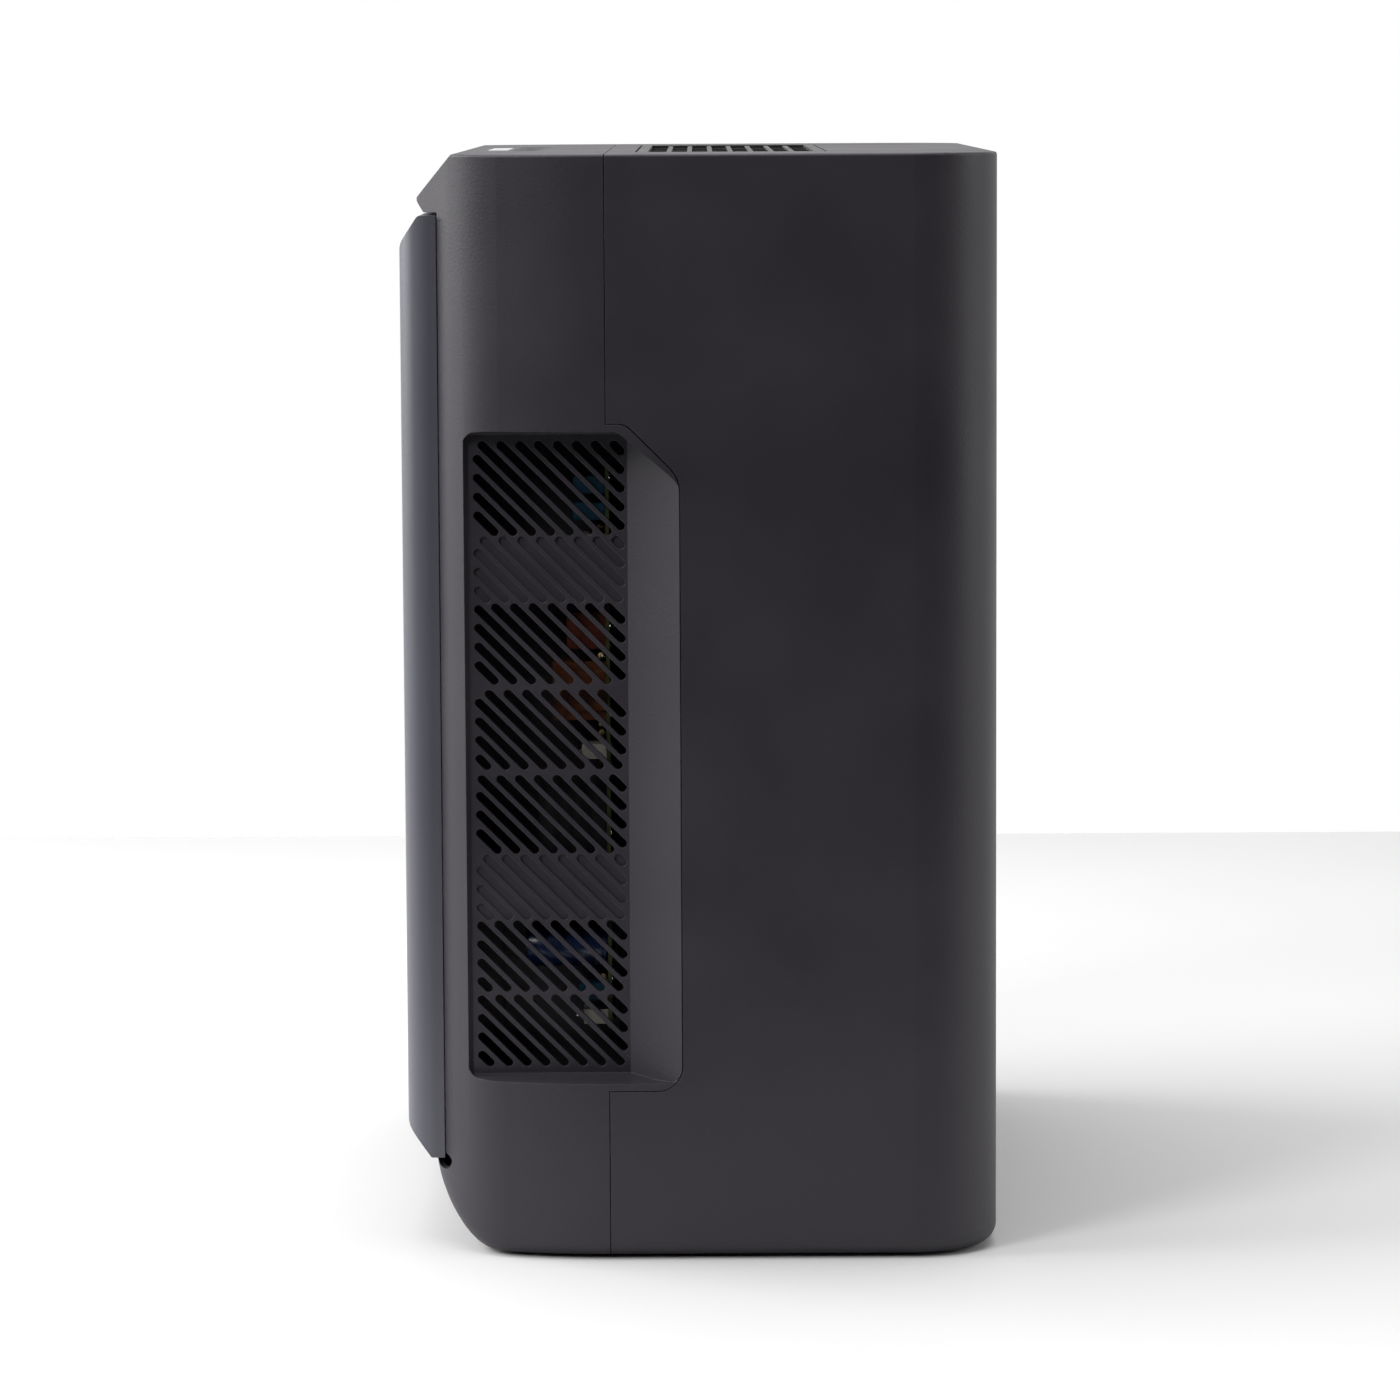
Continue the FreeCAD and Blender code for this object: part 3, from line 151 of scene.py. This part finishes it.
# Nickel-plated magnets and zinc-plated keeper plates: bright, with the fine pitting of a plating bath.
nickel = surface("barrel_plated_nickel", ("#b9b6ae", "#d3d0c8"), 0.004, 0.0006, 0.00001, (0.15, 0.3),
                 metallic=1.0)
dress(nickel, "panel_magnets")
zinc = surface("zinc_plated_steel_sheet", ("#a7a9ad", "#c2c4c8"), 0.005, 0.0008, 0.00001, (0.25, 0.42),
               metallic=1.0)
dress(zinc, "keeper_plates")

# ---- Outlet grille and air duct ----
# The grille is one moulding of parallel slats clipped into the top. Below it a two-piece scroll, screwed
# together round the impeller, turns the air upwards.

# Moulded ABS for inner pieces: near black, semi-matt, with flow marks along the moulding.
inner_abs = surface("moulded_abs_black", ("#141316", "#1b1a1d"), 0.05, 0.0015, 0.00004, (0.4, 0.55),
                    worn="#3d3c41", stretch=(1, 1, 0.4))
dress(inner_abs, "outlet_grille", "fan_scroll", "scroll_cover", "inlet_guard", "board_carrier",
      "sensor_carrier")

# ---- Impeller and motor ----
# A curved-blade impeller moulded in glass-filled nylon sits on the shaft of an outer-can motor. The motor
# hangs on three rubber grommets, so that its hum doesn't reach the scroll.

# Glass-filled nylon: dull black with pale fibre streaks along the flow.
fan_nylon = surface("glass_filled_nylon_black", ("#17171a", "#2b2b2f"), 0.006, 0.0008, 0.00005, (0.5, 0.68),
                    stretch=(1, 0.25, 1), worn="#4d4d52")
dress(fan_nylon, "impeller")
# Drawn steel can: a soft metal sheen with faint drawing lines along the motor's axis.
drawn_steel = surface("drawn_zinc_plated_steel", ("#7d7f84", "#9a9ca1"), 0.012, 0.0009, 0.00002,
                      (0.28, 0.42), metallic=1.0, stretch=(1, 0.15, 1))
dress(drawn_steel, "motor_housing", "motor_rotor")
# Ground steel shaft: bright, with grinding marks round it.
ground_steel = surface("ground_steel_bar", ("#a9abb0", "#c9cbd0"), 0.004, 0.0004, 0.000008, (0.12, 0.22),
                       metallic=1.0, stretch=(1, 6, 1))
dress(ground_steel, "motor_shaft")
# Enamelled copper wire: glossy orange-brown ridges, drawn at 1 mm where the wire is 0.5 mm.
copper_wire = surface("enamelled_copper_wire", ("#7c3a1c", "#a85a2c"), 0.006, 0.001, 0.0002, (0.2, 0.34),
                      metallic=0.8, texture="ShaderNodeTexVoronoi")
dress(copper_wire, "motor_stator")
# Sintered bronze: dull gold with open pores that hold oil.
bronze = surface("sintered_bronze", ("#6d4f28", "#8d6a38"), 0.003, 0.0005, 0.00005, (0.35, 0.5),
                 metallic=1.0, texture="ShaderNodeTexVoronoi")
dress(bronze, "front_bearing", "rear_bearing")
# Nitrile rubber: dull black, slightly dusty on its faces.
rubber = surface("moulded_nitrile_rubber", ("#121212", "#1e1d1c"), 0.006, 0.0007, 0.00006, (0.7, 0.85),
                 worn="#343230")
dress(rubber, "motor_grommets", "feet")

# ---- Filters and their tub ----
# The filters stand in a tub screwed into the front shell: a washable nylon mesh, a tray of carbon felt and
# a pleated paper filter in a glued card frame with a foam gasket.
dress(inner_abs, "filter_tub")
# Woven nylon mesh on a moulded frame: dark grey, with a crossed-thread relief of 0.8 mm.
mesh_nylon = surface("woven_nylon_mesh", ("#26272a", "#34363a"), 0.01, 0.0008, 0.0001, (0.5, 0.62),
                     texture="ShaderNodeTexMagic")
dress(mesh_nylon, "prefilter")
# Activated carbon felt: black granules of 2 mm, each catching a small dull highlight.
carbon = surface("activated_carbon_felt", ("#0c0c0d", "#202022"), 0.003, 0.002, 0.0008, (0.6, 0.8),
                 texture="ShaderNodeTexVoronoi")
dress(carbon, "carbon_filter")
# Pressed card frame: off-white with pulp fibres.
card = surface("pressed_card_white", ("#d6d3ca", "#e4e2da"), 0.01, 0.0012, 0.0001, (0.75, 0.9),
               stretch=(1, 1, 0.3))
dress(card, "hepa_frame")
# Pleated glass-fibre paper: soft white, with fibres running along each fold.
pleat_paper = surface("pleated_filter_paper", ("#dedcd4", "#efeee8"), 0.006, 0.0006, 0.00012, (0.85, 0.95),
                      stretch=(1, 1, 0.2))
dress(pleat_paper, "hepa_pleats")
# Open-cell foam: dark grey with pores of about 1 mm.
foam = surface("open_cell_foam_grey", ("#2a2a2c", "#3d3d40"), 0.004, 0.001, 0.0005, (0.85, 0.95),
               texture="ShaderNodeTexVoronoi")
dress(foam, "filter_gasket")

# ---- Keys and their symbols ----
# Four round keys are moulded in ABS and slide in guides in the top. Each presses a switch below it, and a
# thin pad-printed symbol says what it does.

# Polished ABS: darker and smoother than the shell, so that a finger finds the keys.
key_abs = surface("polished_abs_black", ("#151417", "#1c1b1e"), 0.02, 0.0009, 0.00001, (0.16, 0.26),
                  worn="#55545a")
key_nodes = ("power_button", "speed_button", "timer_button", "night_button")
key_bodies = ("power_key", "speed_key", "timer_key", "night_key")
dress(key_abs, *key_nodes)


def band(inner, outer, start, end):
    """Corners of part of a flat ring, from one angle to another in degrees."""
    steps = max(2, round(abs(end - start) / 10))
    angles = [math.radians(start + (end - start) * i / steps) for i in range(steps + 1)]
    rim = [(outer * math.cos(a), outer * math.sin(a)) for a in angles]
    return rim + [(inner * math.cos(a), inner * math.sin(a)) for a in reversed(angles)]


def bar(x0, y0, x1, y1, width):
    """Corners of a straight bar between two points."""
    along = Vector((x1 - x0, y1 - y0)).normalized() * width / 2
    return [(x0 + along.y, y0 - along.x), (x1 + along.y, y1 - along.x),
            (x1 - along.y, y1 + along.x), (x0 - along.y, y0 + along.x)]


def crescent(radius, bite, shift):
    """Corners of a moon: a disc with another disc's edge bitten out of it."""
    outer = [math.radians(a) for a in range(60, 301, 15)]
    inner = [math.radians(a) for a in range(255, 104, -15)]
    return ([(radius * math.cos(a), radius * math.sin(a)) for a in outer]
            + [(shift + bite * math.cos(a), bite * math.sin(a)) for a in inner])


def new_piece(name, mesh_data, material, body):
    """Object from a bmesh, with its material and body."""
    bmesh.ops.recalc_face_normals(mesh_data, faces=mesh_data.faces)
    mesh = bpy.data.meshes.new(name)
    mesh_data.to_mesh(mesh)
    mesh_data.free()
    mesh.materials.append(material)
    piece = bpy.data.objects.new(name, mesh)
    bpy.context.scene.collection.objects.link(piece)
    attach(piece, body)
    return piece


symbol_size = 0.0032
line = 0.0005
print_thickness = 0.00004
blade = [(0.0, 0.0), (0.0011, 0.0013), (0.0007, 0.0029), (-0.0008, 0.0031), (-0.0004, 0.0014)]
fan_blades = []
for turn in (0, 120, 240):
    c, s = math.cos(math.radians(turn)), math.sin(math.radians(turn))
    fan_blades.append([(x * c - y * s, x * s + y * c) for x, y in blade])
symbols = {
    "power": [band(symbol_size - line, symbol_size, 125, 415),
              bar(0, 0.0008, 0, symbol_size + 0.0006, line)],
    "speed": fan_blades,
    "timer": [band(symbol_size - line, symbol_size, 0, 360), bar(0, -0.0002, 0, 0.0021, line),
              bar(0, 0, 0.0016, 0, line)],
    "night": [crescent(symbol_size, 0.0029, 0.0016)],
}
# Pad-printed ink: pale grey, slightly raised, with an uneven edge gloss.
ink = surface("pad_printed_ink_pale", ("#b9b9bd", "#cdcdd1"), 0.001, 0.0004, 0.000004, (0.4, 0.55))
for (symbol, shapes), node, body in zip(symbols.items(), key_nodes, key_bodies):
    low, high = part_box(node)
    middle = (low + high) / 2
    flat = bmesh.new()
    for corners in shapes:
        base = [flat.verts.new((middle.x + x, middle.y + y, high.z)) for x, y in corners]
        raised = bmesh.ops.extrude_face_region(flat, geom=[flat.faces.new(base)])
        moved = [v for v in raised["geom"] if isinstance(v, bmesh.types.BMVert)]
        bmesh.ops.translate(flat, vec=(0, 0, print_thickness), verts=moved)
    new_piece(f"{symbol}_symbol", flat, ink, body)

# ---- Display ----
# A smoked acrylic lens is glued into the top in front of the keys, over a segment display on its board.

# Smoked acrylic: nearly black and very glossy, with only the faintest waviness.
smoked = surface("smoked_cast_acrylic", ("#08080a", "#0c0c0f"), 0.04, 0.006, 0.000006, (0.04, 0.08),
                 ior=1.49)
dress(smoked, "display_lens")
# Epoxy-potted display: pale grey face with a slight sheen.
potted = surface("epoxy_potted_display", ("#77787a", "#8b8c8e"), 0.004, 0.0006, 0.00002, (0.3, 0.45))
dress(potted, "display_module")

# ---- Circuit boards ----
# The power board stands upright behind the right-hand vent in a slotted carrier. A second board under the
# keys carries the switches, and a small one on the left reads the air.

# Solder-masked glass epoxy: olive green, with the weave and tracks showing as slightly raised lines.
board = surface("solder_masked_glass_epoxy", ("#262e16", "#39421f"), 0.003, 0.0015, 0.00008, (0.3, 0.42),
                texture="ShaderNodeTexBrick", worn="#4c4b2e")
dress(board, "power_board", "control_board")
# Moulded polyester switch bodies: matt black.
polyester = surface("moulded_polyester_black", ("#141414", "#1d1d1d"), 0.004, 0.0006, 0.00003, (0.45, 0.6),
                    worn="#3a3a3a")
dress(polyester, "key_switches", "air_sensor")


def islands(name):
    """Boxes of the separate solids in a CAD node, lowest corner and highest corner."""
    joined = bmesh.new()
    joined.from_mesh(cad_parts[name].data)
    bmesh.ops.remove_doubles(joined, verts=joined.verts, dist=1e-6)
    left = set(joined.verts)
    boxes = []
    while left:
        reached = [left.pop()]
        group = list(reached)
        while reached:
            for edge in reached.pop().link_edges:
                for vertex in edge.verts:
                    if vertex in left:
                        left.discard(vertex)
                        reached.append(vertex)
                        group.append(vertex)
        places = [v.co for v in group]
        boxes.append((Vector([min(p[i] for p in places) for i in range(3)]),
                      Vector([max(p[i] for p in places) for i in range(3)])))
    joined.free()
    return sorted(boxes, key=lambda b: (round(b[0].z, 5), round(b[0].x, 5), round(b[0].y, 5)))


def lathe(target, profile, centre, axis, steps=32):
    """Turned form about an axis; the profile is (distance along the axis, radius) in order."""
    facing = Vector(axis).to_track_quat("Z", "Y").to_matrix()
    rings = []
    for along, radius in profile:
        ring = []
        for i in range(steps):
            a = 2 * math.pi * i / steps
            offset = facing @ Vector((radius * math.cos(a), radius * math.sin(a), along))
            ring.append(target.verts.new(Vector(centre) + offset))
        rings.append(ring)
    for lower, upper in zip(rings, rings[1:]):
        for i in range(steps):
            j = (i + 1) % steps
            target.faces.new((lower[i], lower[j], upper[j], upper[i])).smooth = True
    target.faces.new(list(reversed(rings[0])))
    target.faces.new(rings[-1])


# ---- Bulk capacitors ----
# Two electrolytic cans lie off the board's front face. Each is an aluminium can in a shrunk blue sleeve,
# with a crimped neck at the board and a bare scored end.

# Shrunk vinyl sleeve: glossy deep blue with small ripples where it shrank.
# Its blue is darkened as painted shade of the dim inside of the cabinet.
blue_sleeve_painted_shade = surface("shrunk_vinyl_sleeve_blue_painted_shade", ("#0c1938", "#11224a"), 0.006, 0.002, 0.00006,
                      (0.22, 0.34))
# Bare aluminium end of a can: bright and lightly scored.
can_end = surface("drawn_aluminium_can", ("#a3a6aa", "#c0c3c7"), 0.004, 0.0005, 0.00001, (0.22, 0.34),
                  metallic=1.0)
sleeves = bmesh.new()
ends = bmesh.new()
neck = 0.0022
groove = 0.0006
groove_share = 0.93
end_share = 0.79
for low, high in islands("bulk_capacitors"):
    size = high - low
    # The can lies along the board's normal, its longest way.
    length, radius = size.y, min(size.x, size.z) / 2
    foot = Vector(((low.x + high.x) / 2, high.y, (low.z + high.z) / 2))
    lathe(sleeves, [(0.0, radius * groove_share), (0.0003, radius), (neck, radius),
                    (neck + groove, radius * groove_share), (neck + 2 * groove, radius),
                    (length - 0.0012, radius), (length - 0.0004, radius * 0.95),
                    (length - 0.0004, radius * 0.8)], foot, (0, -1, 0))
    lathe(ends, [(length - 0.0008, radius * end_share), (length - 0.0002, radius * end_share),
                 (length - 0.0001, radius * 0.72), (length - 0.0003, radius * 0.2)], foot, (0, -1, 0))
capacitor_sleeves = new_piece("capacitor_sleeves", sleeves, blue_sleeve_painted_shade, "cabinet")
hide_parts("bulk_capacitors")
new_piece("capacitor_ends", ends, can_end, "cabinet")
# Dipped film capacitors: glossy blue epoxy with a slightly lumpy skin.
# Their blue is darkened nearly to black as painted shade of the dim inside of the cabinet.
dipped = surface("dipped_epoxy_blue_painted_shade", ("#0d2838", "#123648"), 0.004, 0.0025, 0.0001, (0.16, 0.28),
                 rounding=0.0012)
dress(dipped, "film_capacitors")

# ---- Choke ----
# A ring of pressed ferrite wound with one layer of enamelled wire, glued upright to the board. The turns
# spread at the outside and crowd together in the bore.
low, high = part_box("choke")
ring_middle = (low + high) / 2
ring_size = high - low
ring_axis = min(range(3), key=lambda i: ring_size[i])
across = sorted(ring_size)[1]
tube = ring_size[ring_axis] / 2
reach = across / 2 - tube
wire = 0.0006
turns = 26
core_steps = 48
turn_steps = 20
core = bmesh.new()
winding = bmesh.new()
facing = Vector([1.0 if i == ring_axis else 0.0 for i in range(3)]).to_track_quat("Z", "Y").to_matrix()


def ring_tube(target, points, radius, steps):
    """Closed tube through the points, each with its own outward direction worked out from its neighbours."""
    rings = []
    for i, point in enumerate(points):
        along = (points[(i + 1) % len(points)] - points[i - 1]).normalized()
        side = along.orthogonal().normalized()
        other = along.cross(side)
        rings.append([target.verts.new(point + radius * (side * math.cos(2 * math.pi * k / steps)
                                                         + other * math.sin(2 * math.pi * k / steps)))
                      for k in range(steps)])
    for i, ring in enumerate(rings):
        following = rings[(i + 1) % len(rings)]
        near = min(range(steps), key=lambda k: (following[k].co - ring[0].co).length)
        for k in range(steps):
            a, b = ring[k], ring[(k + 1) % steps]
            c, d = following[(k + 1 + near) % steps], following[(k + near) % steps]
            target.faces.new((a, b, c, d)).smooth = True


core_points = []
for i in range(core_steps):
    a = 2 * math.pi * i / core_steps
    core_points.append(ring_middle + facing @ Vector((reach * math.cos(a), reach * math.sin(a), 0)))
ring_tube(core, core_points, tube - 2 * wire, 16)
for turn in range(turns):
    a = 2 * math.pi * (turn + 0.5) / turns
    outward = facing @ Vector((math.cos(a), math.sin(a), 0))
    axis = facing @ Vector((0, 0, 1))
    loop = []
    for k in range(turn_steps):
        t = 2 * math.pi * k / turn_steps
        loop.append(ring_middle + outward * (reach + (tube - wire) * math.cos(t))
                    + axis * (tube - wire) * math.sin(t))
    ring_tube(winding, loop, wire, 8)
# Pressed ferrite: dull dark grey with a ceramic grain.
ferrite = surface("pressed_ferrite", ("#232323", "#333231"), 0.002, 0.0005, 0.00004, (0.5, 0.65))
choke_core = new_piece("choke_core", core, ferrite, "cabinet")
new_piece("choke_winding", winding, copper_wire, "cabinet")
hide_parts("choke")

# ---- Transformer, relay and heat sink ----
# The transformer is wound on a taped former, the relay is a sealed case, and the heat sink is a comb cut
# from an extrusion and screwed to the board.

# Polyester winding tape: warm yellow-orange, laid in overlapping turns of about 4 mm.
# Its tones are darkened to brown as painted shade of the dim inside of the cabinet.
tape = surface("polyester_winding_tape_painted_shade", ("#3f200e", "#522a10"), 0.004, 0.004, 0.0001, (0.25, 0.38),
               stretch=(0.3, 1, 1), texture="ShaderNodeTexWave")
dress(tape, "power_transformer")
# Relay case of dyed polyester: clear orange-red with moulded gloss.
relay_case_painted_shade = surface("dyed_polyester_orange_painted_shade", ("#3d170d", "#4b1d10"), 0.005, 0.001, 0.00002, (0.22, 0.34),
                     # Its orange-red is darkened as painted shade of the dim inside of the cabinet.
                     worn="#7a3c28")
dress(relay_case_painted_shade, "relay")
# Black anodised aluminium: fine die lines run up each fin.
anodised = surface("black_anodised_extrusion", ("#1b1b1d", "#29292c"), 0.003, 0.0006, 0.00003, (0.3, 0.45),
                   metallic=0.6, stretch=(1, 1, 0.1), worn="#6a6a6e")
dress(anodised, "heat_sink")
# Natural nylon plug sockets: milky white with a slight sheen.
nylon_white = surface("natural_nylon_white", ("#77756e", "#8f8d86"), 0.003, 0.0008, 0.00002, (0.35, 0.5),
                      worn="#a9a7a0")
dress(nylon_white, "board_sockets")

# ---- Small parts on the power board ----
# Film resistors stand on the board's front face wherever the large parts leave a gap, and each lead ends
# in a cone of solder on the back. The resistors are dog-bone shaped, dipped in a beige coat.
board_low, board_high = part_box("power_board")
resistor_gap = 0.0015
row_pitch = 0.004
blocked = []
for name in ("bulk_capacitors", "film_capacitors", "power_transformer", "relay", "heat_sink", "choke",
             "board_sockets"):
    blocked += [(low.z - resistor_gap, high.z + resistor_gap) for low, high in islands(name)]
resistors = bmesh.new()
legs = bmesh.new()
solder = bmesh.new()
resistor_length = 0.0064
resistor_radius = 0.0012
resistor_lift = 0.0021
leg_reach = 0.0012
leg_radius = 0.0003
solder_cone = [(0.0, 0.0011), (0.0004, 0.0007), (0.0011, 0.0003), (0.0014, 0.0002)]
rows = int((board_high.z - board_low.z) / row_pitch)
for row in range(1, rows):
    z = board_low.z + row * (board_high.z - board_low.z) / rows
    free = not any(start < z < end for start, end in blocked)
    x = board_low.x + 0.0125 + 0.0035 * (row % 3)
    for side in (-1, 1):
        leg_x = x + side * (resistor_length / 2 + leg_reach)
        lathe(solder, solder_cone, (leg_x, board_high.y + 0.00002, z), (0, 1, 0), 12)
        if free:
            lathe(legs, [(0.0, leg_radius), (0.0024, leg_radius)], (leg_x, board_low.y, z), (0, -1, 0), 8)
    if free:
        cap, waist = resistor_radius * 1.1, resistor_radius * 0.82
        half = [(0.0044, leg_radius), (0.0032, leg_radius), (0.0031, resistor_radius), (0.0022, cap),
                (0.0014, waist)]
        lathe(resistors, [(-along, radius) for along, radius in half] + half[::-1],
              (x, board_low.y - resistor_lift, z), (1, 0, 0), 16)
# Dipped resistor coat: beige and glossy.
beige_coat = surface("dipped_resistor_coat_beige", ("#a98d62", "#c2a678"), 0.0015, 0.0006, 0.00003,
                     (0.25, 0.4))
# Tin solder: bright and smooth, with cooled ripples.
tin = surface("flowed_tin_solder", ("#aaadb0", "#c6c9cc"), 0.001, 0.0005, 0.00003, (0.15, 0.28),
              metallic=1.0)
new_piece("board_resistors", resistors, beige_coat, "cabinet")
new_piece("resistor_legs", legs, tin, "cabinet")
new_piece("solder_joints", solder, tin, "cabinet")
# Two rows of square tinned pins stand out of each nylon socket, where the plugs' crimps grip them.
pins = bmesh.new()
pin_pitch = 0.0025
pin_reach = 0.0035
pin_half = 0.0004
for low, high in islands("board_sockets"):
    across_count = max(1, int((high.x - low.x) / pin_pitch) - 1)
    up_count = max(1, int((high.z - low.z) / pin_pitch) - 1)
    for i in range(across_count):
        for j in range(up_count):
            x = (low.x + high.x) / 2 + (i - (across_count - 1) / 2) * pin_pitch
            z = (low.z + high.z) / 2 + (j - (up_count - 1) / 2) * pin_pitch
            lathe(pins, [(-0.001, pin_half), (pin_reach - pin_half, pin_half), (pin_reach, pin_half / 2)],
                  (x, low.y, z), (0, -1, 0), 4)
new_piece("socket_pins", pins, tin, "cabinet")

# ---- Mains inlet and leads ----
# A two-pole appliance inlet is snapped into the rear wall, with brass pins. Three PVC leads join it, the
# motor and the control board to the power board.
dress(polyester, "power_inlet")
# Nickel-plated brass pins: pale gold, smooth, with a drawn grain along them.
brass = surface("drawn_plated_brass", ("#a8935c", "#c6b27a"), 0.003, 0.0004, 0.000008, (0.18, 0.28),
                metallic=1.0, stretch=(1, 0.2, 1))
dress(brass, "inlet_pins")
# Extruded PVC sleeve: soft black, with a slow waviness along it.
lead_pvc = surface("extruded_pvc_black", ("#161616", "#202020"), 0.01, 0.0015, 0.00006, (0.4, 0.55))
dress(lead_pvc, "inlet_lead", "motor_lead", "control_lead")

# ---- Screws ----
# Thread-forming screws of zinc-plated steel hold the shells, tub, boards, scroll and motor. Each has a low
# head and a shank drawn plain, and is driven into a moulded boss.
dress(zinc, "shell_screws", "tub_screws", "control_screws", "scroll_screws", "motor_screws")

# ---- Floor, light and camera ----
# A sheet of pale paper carries the purifier. The largest soft light stands in front of its panel, weaker
# ones hang above and stand behind, and the side towards the camera is left dim.
floor_mesh = bpy.data.meshes.new("studio_floor")
floor_back, floor_front, floor_side = -1.1, 0.5, 1.1
floor_mesh.from_pydata([(floor_back, -floor_side, 0), (floor_front, -floor_side, 0),
                        (floor_front, floor_side, 0), (floor_back, floor_side, 0)], [], [(0, 1, 2, 3)])
floor = bpy.data.objects.new("studio_floor", floor_mesh)
floor_mesh.materials.append(surface("matt_studio_paper", ("#cccccc", "#d2d2d2"), 0.8, 0.004, 0.00005,
                                    (0.8, 0.9)))
bpy.context.scene.collection.objects.link(floor)

light_aim = Vector((0, 0, 0.22))


def soft_light(name, place, size, power):
    """Rectangular area light aimed at the purifier."""
    data = bpy.data.lights.new(name, "AREA")
    data.shape = "RECTANGLE"
    data.size, data.size_y = size
    data.energy = power
    lamp = bpy.data.objects.new(name, data)
    lamp.location = place
    lamp.rotation_euler = (light_aim - lamp.location).to_track_quat("-Z", "Y").to_euler()
    bpy.context.scene.collection.objects.link(lamp)


soft_light("front_softbox", (-0.2, -2.3, 1.3), (2.3, 2.1), 88)
soft_light("side_softbox", (2.0, -1.6, 2.0), (0.8, 1.2), 38)
soft_light("overhead_softbox", (0.1, -0.1, 2.2), (2.2, 2.2), 44)
soft_light("rear_softbox", (0.3, 2.4, 1.0), (1.2, 1.6), 20)

# The surround is white to the camera, and also lights the side that faces away from it.
world = bpy.data.worlds.new("studio_surround")
bpy.context.scene.world = world
world.use_nodes = True
backdrop = world.node_tree.nodes["Background"]
backdrop.inputs["Color"].default_value = (1.0, 1.0, 1.0, 1.0)
seen = add(world.node_tree, "ShaderNodeLightPath", {}, {})
heading = add(world.node_tree, "ShaderNodeTexCoord", {}, {})
compass = add(world.node_tree, "ShaderNodeSeparateXYZ", {}, {0: heading.outputs["Generated"]})
behind = add(world.node_tree, "ShaderNodeMapRange", {"From Min": 0.1, "From Max": -0.7, "To Min": 0.05,
             "To Max": 1.0}, {"Value": compass.outputs["X"]})
strength = add(world.node_tree, "ShaderNodeMath", {"operation": "MAXIMUM"},
               {0: behind.outputs[0], 1: seen.outputs["Is Camera Ray"]})
world.node_tree.links.new(strength.outputs[0], backdrop.inputs["Strength"])
bpy.context.scene.view_settings.view_transform = "Standard"

# The camera looks square on to the right side from just above the top, with a very slight roll.
view_target = Vector((cad_high.x, 0.0, 0.2318))
view_roll = math.radians(-0.28)
camera_data = bpy.data.cameras.new("studio_camera")
camera_data.sensor_width = 36.0
camera_data.lens = 141.8
camera = bpy.data.objects.new("studio_camera", camera_data)
camera.location = (2.425, 0.0, 0.48)
aim = (view_target - camera.location).to_track_quat("-Z", "Y").to_matrix()
camera.rotation_euler = (aim @ Matrix.Rotation(view_roll, 3, "Z")).to_euler()
bpy.context.scene.collection.objects.link(camera)
bpy.context.scene.camera = camera
